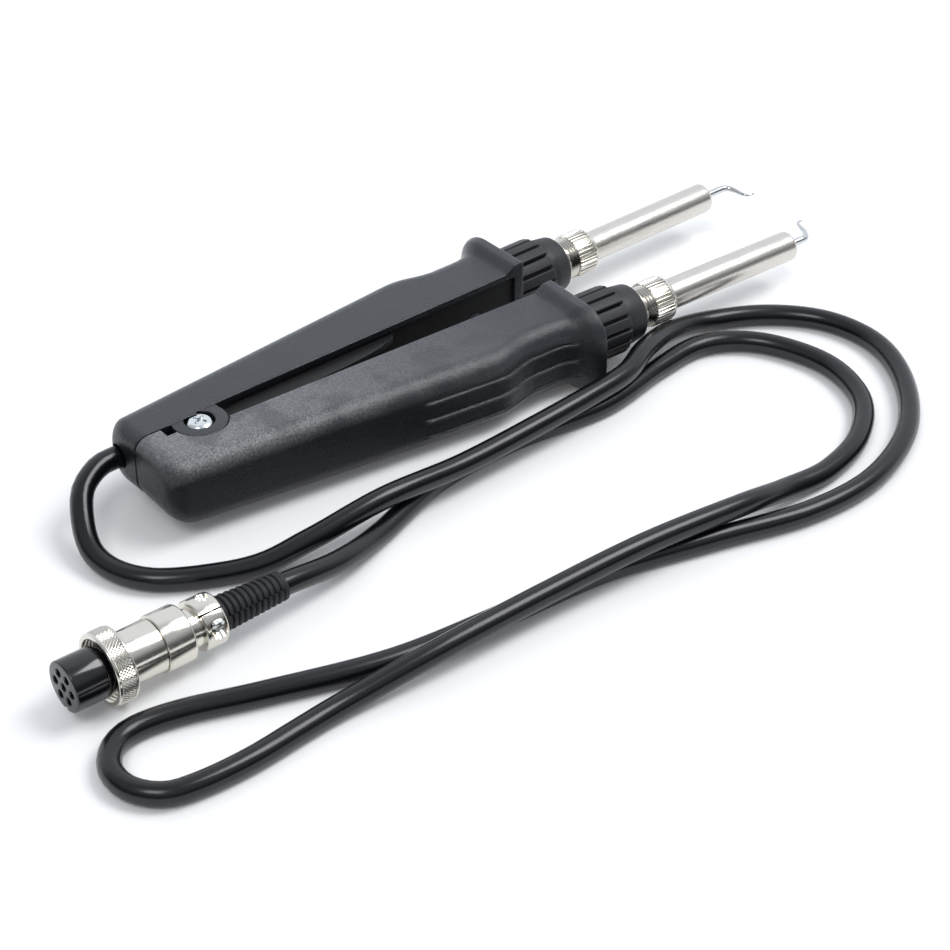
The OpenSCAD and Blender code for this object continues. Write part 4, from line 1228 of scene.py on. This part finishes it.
class TWEEZERS_OT_plug(bpy.types.Operator):
    """Makes the plug's insulator, ring, barrel, back shell, cord clamp, screws and boot"""

    bl_idname = "tweezers.plug"
    bl_label = "Plug"

    def execute(self, context):
        sizes = context.scene.tweezer_sizes
        self.insulator()
        self.ring(sizes.ring_knurls)
        self.barrel()
        self.clamp()
        self.screws()
        self.boot(sizes.boot_rows)
        return {"FINISHED"}

    def insulator(self):
        piece = lathe("plug_insulator_moulding", [
            (0, 0, 0), (0, 6.6, 0.45), (9.3, 6.6, 0.1), (9.3, 5.9, 0), (15.3, 5.9, 0), (15.3, 5.7, 0),
            (23.6, 5.7, 0), (23.6, 0, 0)], 5)
        circle = SOCKET_CIRCLE
        holes = [(0.0, 0.0)] + [(circle * math.cos(a), circle * math.sin(a)) for a in arc(30, 330, 5)]
        bore = [(-1, 0), (-1, 1.55), (0.0, 1.3), (0.25, 1.05), (7, 1.05), (7, 0)]
        tools = [moved(turned(bore, 40), Matrix.Translation((0, s, -c))) for c, s in holes]
        carve(piece, tools + [box(-1, 8.6, -0.9, 0.9, -9, -5.7)])
        settle(piece, "insulator", "far_arm", "plug_insulator", PLUG_PLACE)

    def ring(self, count):
        """Coupling ring with a thread inside and a diamond knurl of small pyramids outside."""
        front, back = RING_X
        body = lathe("ring_body", [
            (front, 7.95, 0.3), (front, 9.2, 0.35), (front + 0.7, 9.35, 0.25), (10.5, RING_R, 0.1),
            (14.1, RING_R, 0.1), (14.3, 9.35, 0.25), (back, 9.2, 0.35), (back, 7.05, 0.2), (13.9, 7.05, 0),
            (13.9, 7.95, 0.1)], 5, 128)
        thread = new_object("ring_thread", *box(0, 0.01, 8.2, 8.21, 0, 0.01))
        grow(thread, "thread", "nickel_brass", {
            "Start": 10.0, "Radius": 8.0, "Pitch": 1.0, "Turns": 3.4, "Depth": 0.25}, body)
        pitch = KNURL_LEN / KNURL_ROWS
        long, wide = pitch * 0.98, math.pi * 9.2 / count * 0.98
        piece = new_object("coupling_ring_knurled", [
            (KNURL_X - long, 0, 9.12), (KNURL_X, wide, 9.1), (KNURL_X + long, 0, 9.12), (KNURL_X, -wide, 9.1),
            (KNURL_X, 0, 9.4)], [(0, 1, 4), (1, 2, 4), (2, 3, 4), (3, 0, 4), (3, 2, 1, 0)])
        grow(piece, "rows", "nickel_brass", {
            "Count": count, "Rows": KNURL_ROWS + 1, "Row pitch": pitch, "Row turn": math.pi / count}, thread)
        settle(piece, "nickel_brass", "plug_ring", "coupling_ring", PLUG_PLACE, 25)

    def barrel(self):
        piece = lathe("plug_barrel_turned", [
            (12.8, 5.92, 0), (12.8, 7.6, 0.1), (13.8, 7.6, 0.1), (13.8, 6.85, 0), (24.6, 6.85, 0.2),
            (24.6, 5.8, 0), (15.4, 5.8, 0), (15.4, 5.92, 0)], segments=128)
        settle(piece, "nickel_brass", "far_arm", "plug_barrel", PLUG_PLACE)

    def clamp_ring(self, name, x0, cut):
        """Half of the clamp behind the neck, with its screw holes and spot faces."""
        ring = lathe(name, [(x0, 3.72, 0), (x0, CLAMP_R, 0.7), (6.4, CLAMP_R, 1.1), (6.4, 3.72, 0.3)], 6, 128)
        along, out = CLAMP_SCREW
        tools = [
            moved(post(radius, z0, z1, 0, segments), Matrix.Translation((along, y, 0)))
            for y in (-out, out)
            for radius, z0, z1, segments in ((0.95, -10, 10, 40), (2.3, -10, -2.6, 64), (1.5, 3.7, 14.3, 48))]
        carve(ring, tools + [box(-5, 25, -20, 20, *cut)])
        ring.data.transform(CLAMP_PLACE)
        return ring

    def clamp(self):
        """Back shell with one half of the clamp, and the saddle that is the other half."""
        half = taken(self.clamp_ring("clamp_half", -0.5, (-20, 0.25)))
        shell = lathe("plug_back_shell_turned", [
            (24.65, 4.6, 0), (24.65, 7.4, 0.3), (32.6, 7.4, 0.9), (32.6, 5.2, 0.4), (CLAMP_X, 5.2, 0),
            (CLAMP_X, 3.4, 0), (31.0, 3.4, 0), (31.0, 4.6, 0)], 6, 128)
        carve(shell, [half], "UNION")
        settle(shell, "nickel_brass", "far_arm", "plug_back_shell", PLUG_PLACE)
        saddle = self.clamp_ring("plug_saddle_clamp", 0.05, (-0.25, 20))
        settle(saddle, "nickel_brass", "far_arm", "plug_saddle", PLUG_PLACE)

    def screws(self):
        along, out = CLAMP_SCREW
        piece = lathe("plug_clamp_screws", [
            (-3.9, 0, 0), (-3.9, 1.4, 0.4), (-3.5, 1.9, 0.3), (-2.62, 1.9, 0.15), (-2.62, 0.9, 0),
            (0.8, 0.9, 0.2), (0.8, 0, 0)], 4, 56, True)
        carve(piece, [box(-3, 3, -0.3, 0.3, -6, -3.3)])
        carve(piece, [turned([(0.8, 0), (0.8, 0.9), (3.7, 0.9), (4.0, 0.6), (4.0, 0)], 40, True)], "UNION")
        piece.data.transform(Matrix.Translation((-out, -along, 0)))
        grow(piece, "rows", "zinc_screw", {"Count": 1, "Rows": 2, "Row pitch": 2 * out})
        piece.data.transform(CLAMP_PLACE @ Matrix.Rotation(math.pi / 2, 4, "Z"))
        settle(piece, "zinc_screw", "far_arm", "plug_screws", PLUG_PLACE, 30)

    def boot(self, rows):
        """Tapering core with staggered half rings."""
        start, end = CLAMP_END + 1.2, BOOT_END - 1.6
        inside, root, tail = CLAMP_X + 0.3, CLAMP_END + 0.9, BOOT_END - 1.4
        body = lathe("boot_core", [
            (inside, 3.02, 0), (inside, 3.7, 0), (CLAMP_END, 3.7, 0), (CLAMP_END, 4.7, 0.2), (root, 4.7, 0.1),
            (root, 4.0, 0.1), (tail, 3.3, 0.1), (tail + 0.2, 3.85, 0.3), (BOOT_END, 3.75, 0.3),
            (BOOT_END, 3.02, 0.1)])
        crown = ((0.58, 4.15), (0.46, 4.45), (0.26, 4.64), (0.0, 4.7))
        section = [(-0.6, 3.2), (0.6, 3.2), *crown, *((-x, r) for x, r in crown[2::-1])]
        piece = new_object("plug_boot_ribbed", *loft([
            [(start + x, r * math.cos(a), r * math.sin(a)) for x, r in section] for a in arc(-44, 44, 16)]))
        grow(piece, "rows", "rubber", {
            "Count": 2, "Rows": rows, "Row pitch": (end - start) / (rows - 1), "Row turn": math.pi / 2,
            "Last scale": 3.9 / 4.7}, body)
        piece.data.transform(Matrix.Rotation(BOOT_TURN, 4, "X"))
        settle(piece, "rubber", "far_arm", "plug_boot", PLUG_PLACE, 30)


# What is carried over, and the cord's route worked out once more


class TWEEZERS_OT_inner_parts(bpy.types.Operator):
    """Gives the carried-over solids inside the arms and the plug their finishes"""

    bl_idname = "tweezers.inner_parts"
    bl_label = "Inner parts"

    def execute(self, context):
        finishes = {
            # The near cover shares that finish, darkened as painted shade in the gap
            "cover_nylon": ("near_cover",),
            "screw_steel": ("far_cover_screws", "near_cover_screws", "pivot_nut"),
            "alumina": ("far_heater", "near_heater"),
            "board_laminate": ("far_board", "near_board"),
            "wire_jacket": ("far_loom", "near_loom", "jumper_lead"),
            "bush_brass": ("pivot_bush",),
            "rubber": ("cord_gland",),
            "contact_brass": ("plug_contacts",),
        }
        for finish, nodes in finishes.items():
            for node in nodes:
                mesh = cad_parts[node].data
                mesh.materials.clear()
                mesh.materials.append(materials[finish])
        return {"FINISHED"}


class TWEEZERS_OT_declare_cord(bpy.types.Operator):
    """Works out the cord's route again and keeps nothing of it"""

    bl_idname = "tweezers.declare_cord"
    bl_label = "Cord facts"

    def execute(self, context):
        radius = context.scene.tweezer_sizes.cord_diameter / MM / 2
        route = cord_route(radius)
        return {"FINISHED"}


# The stage


class TWEEZERS_OT_stage(bpy.types.Operator):
    """Makes the floor, the lamps, the surroundings and the camera"""

    bl_idname = "tweezers.stage"
    bl_label = "Stage"

    def execute(self, context):
        self.camera(context)
        self.floor()
        self.surroundings(context)
        self.lamps(context)
        context.scene.view_settings.view_transform = "Standard"
        return {"FINISHED"}

    def camera(self, context):
        """The photograph's viewpoint."""
        turn, rise, roll = (math.radians(angle) for angle in (VIEW_TURN, VIEW_RISE, VIEW_ROLL))
        away = Vector((math.cos(rise) * math.cos(turn), math.cos(rise) * math.sin(turn), math.sin(rise)))
        right = (-away).cross(Vector((0, 0, 1))).normalized()
        up = right.cross(-away)
        across = right * math.cos(roll) + up * math.sin(roll)
        upward = up * math.cos(roll) - right * math.sin(roll)
        lens = bpy.data.cameras.new("view_camera")
        lens.lens = VIEW_LENS
        lens.sensor_width = 36
        lens.sensor_fit = "HORIZONTAL"
        lens.clip_start = 0.01
        camera = bpy.data.objects.new("view_camera", lens)
        place = Matrix((across, upward, away)).transposed().to_4x4()
        place.translation = Vector(VIEW_AT) + away * VIEW_AWAY
        camera.matrix_world = place
        context.scene.collection.objects.link(camera)
        context.scene.camera = camera

    def seen_rays(self, tree):
        """1 for what is seen, also in metal and through glass, and 0 for light that falls on the object."""
        path = add_node(tree, "ShaderNodeLightPath").outputs
        seen = path["Is Camera Ray"]
        for kind in ("Is Glossy Ray", "Is Transmission Ray"):
            seen = add_node(tree, MATH, {"operation": "MAXIMUM"}, {0: seen, 1: path[kind]}).outputs[0]
        return seen

    def floor(self):
        reach = FLOOR_REACH
        floor = new_object("floor_sheet", *box(-reach, reach, -reach, reach, -20, -0.05))
        floor.data.transform(Matrix.Scale(MM, 4))
        # White paper: matte, and lifted to white where it is seen
        material = bpy.data.materials.new("paper_white_matte")
        material.use_nodes = True
        tree = material.node_tree
        tree.nodes.clear()
        matte = add_node(tree, "ShaderNodeBsdfDiffuse", None, {"Color": (0.92, 0.92, 0.92, 1.0)})
        lift = add_node(tree, MATH, {"operation": "MULTIPLY"}, {0: self.seen_rays(tree), 1: FLOOR_LIFT})
        glow = add_node(
            tree, "ShaderNodeEmission", None, {"Color": (1.0, 1.0, 1.0, 1.0), "Strength": lift.outputs[0]})
        both = add_node(
            tree, "ShaderNodeAddShader", None, {0: matte.outputs["BSDF"], 1: glow.outputs["Emission"]})
        add_node(tree, "ShaderNodeOutputMaterial", None, {"Surface": both.outputs["Shader"]})
        floor.data.materials.append(material)

    def surroundings(self, context):
        """A cool white backdrop behind the object, a half lit ceiling and a dim room on the near side."""
        world = bpy.data.worlds.new("backdrop_and_room")
        world.use_nodes = True
        tree = world.node_tree
        tree.nodes.clear()
        ray = add_node(tree, "ShaderNodeTexCoord").outputs["Generated"]
        away = add_node(tree, "ShaderNodeVectorMath", {"operation": "DOT_PRODUCT"}, {0: ray, 1: BACKDROP_WAY})
        height = add_node(tree, PARTS, None, {"Vector": ray})
        backdrop, ceiling = [
            add_node(tree, RANGE, {"interpolation_type": "SMOOTHSTEP"}, {
                "Value": value, "From Min": low, "From Max": high, "To Min": 0.0, "To Max": full})
            for value, low, high, full in (
                (away.outputs["Value"], -0.15, 0.55, 1.0), (height.outputs["Z"], 0.2, 0.65, 0.5))]
        level = add_node(
            tree, MATH, {"operation": "MAXIMUM"},
            {0: backdrop.outputs["Result"], 1: ceiling.outputs["Result"]})
        tint = add_node(
            tree, MIX, IN_COLOUR,
            {0: level.outputs[0], 6: (0.09, 0.094, 0.1, 1.0), 7: (0.94, 0.99, 1.06, 1.0)})
        sky = add_node(tree, "ShaderNodeBackground", None, {"Color": tint.outputs[2], "Strength": 1.0})
        add_node(tree, "ShaderNodeOutputWorld", None, {"Surface": sky.outputs["Background"]})
        context.scene.world = world

    def lamps(self, context):
        for name, place, size, power in (
                ("softbox_right", (0.75, -0.48, 1.45), 0.8, 14.0),
                ("softbox_left", (-0.95, -0.55, 1.45), 0.6, 6.6)):
            lamp = bpy.data.lights.new(name, "AREA")
            lamp.size = size
            lamp.energy = power
            piece = bpy.data.objects.new(name, lamp)
            aim = Vector(LAMP_AIM) - Vector(place)
            turn = aim.to_track_quat("-Z", "Y").to_matrix().to_4x4()
            piece.matrix_world = Matrix.Translation(place) @ turn
            context.scene.collection.objects.link(piece)


class TWEEZERS_PT_panel(bpy.types.Panel):
    """Sizes, colours and steps of the hot tweezers"""

    bl_idname = "TWEEZERS_PT_panel"
    bl_label = "Hot tweezers"
    bl_space_type = "VIEW_3D"
    bl_region_type = "UI"
    bl_category = "Hot tweezers"

    def draw(self, context):
        for group in (context.scene.tweezer_sizes, context.scene.tweezer_colours):
            for key in group.bl_rna.properties.keys():
                if key not in ("rna_type", "name"):
                    self.layout.prop(group, key)
        for step in STEPS:
            self.layout.operator(step.bl_idname)


STEPS = (
    TWEEZERS_OT_stage, TWEEZERS_OT_cord, TWEEZERS_OT_arms, TWEEZERS_OT_covers, TWEEZERS_OT_collars,
    TWEEZERS_OT_clamps, TWEEZERS_OT_tips, TWEEZERS_OT_hinge, TWEEZERS_OT_plug, TWEEZERS_OT_inner_parts,
    TWEEZERS_OT_declare_cord,
)
GROUPS = (TweezerSizes, TweezerColours)


def register():
    for kind in GROUPS + STEPS + (TWEEZERS_PT_panel,):
        bpy.utils.register_class(kind)
    bpy.types.Scene.tweezer_sizes = bpy.props.PointerProperty(type=TweezerSizes)
    bpy.types.Scene.tweezer_colours = bpy.props.PointerProperty(type=TweezerColours)


def unregister():
    del bpy.types.Scene.tweezer_sizes
    del bpy.types.Scene.tweezer_colours
    for kind in (TWEEZERS_PT_panel,) + STEPS[::-1] + GROUPS[::-1]:
        bpy.utils.unregister_class(kind)


def main():
    register()
    materials.update(make_materials(bpy.context.scene.tweezer_colours))
    trees.update(rows=rows_tree(), thread=thread_tree())
    bpy.ops.tweezers.stage()
    bpy.ops.tweezers.cord()
    bpy.ops.tweezers.arms()
    bpy.ops.tweezers.covers()
    bpy.ops.tweezers.collars()
    bpy.ops.tweezers.clamps()
    bpy.ops.tweezers.tips()
    bpy.ops.tweezers.hinge()
    bpy.ops.tweezers.plug()
    bpy.ops.tweezers.inner_parts()
    bpy.ops.tweezers.declare_cord()


if __name__ == "__main__":
    main()
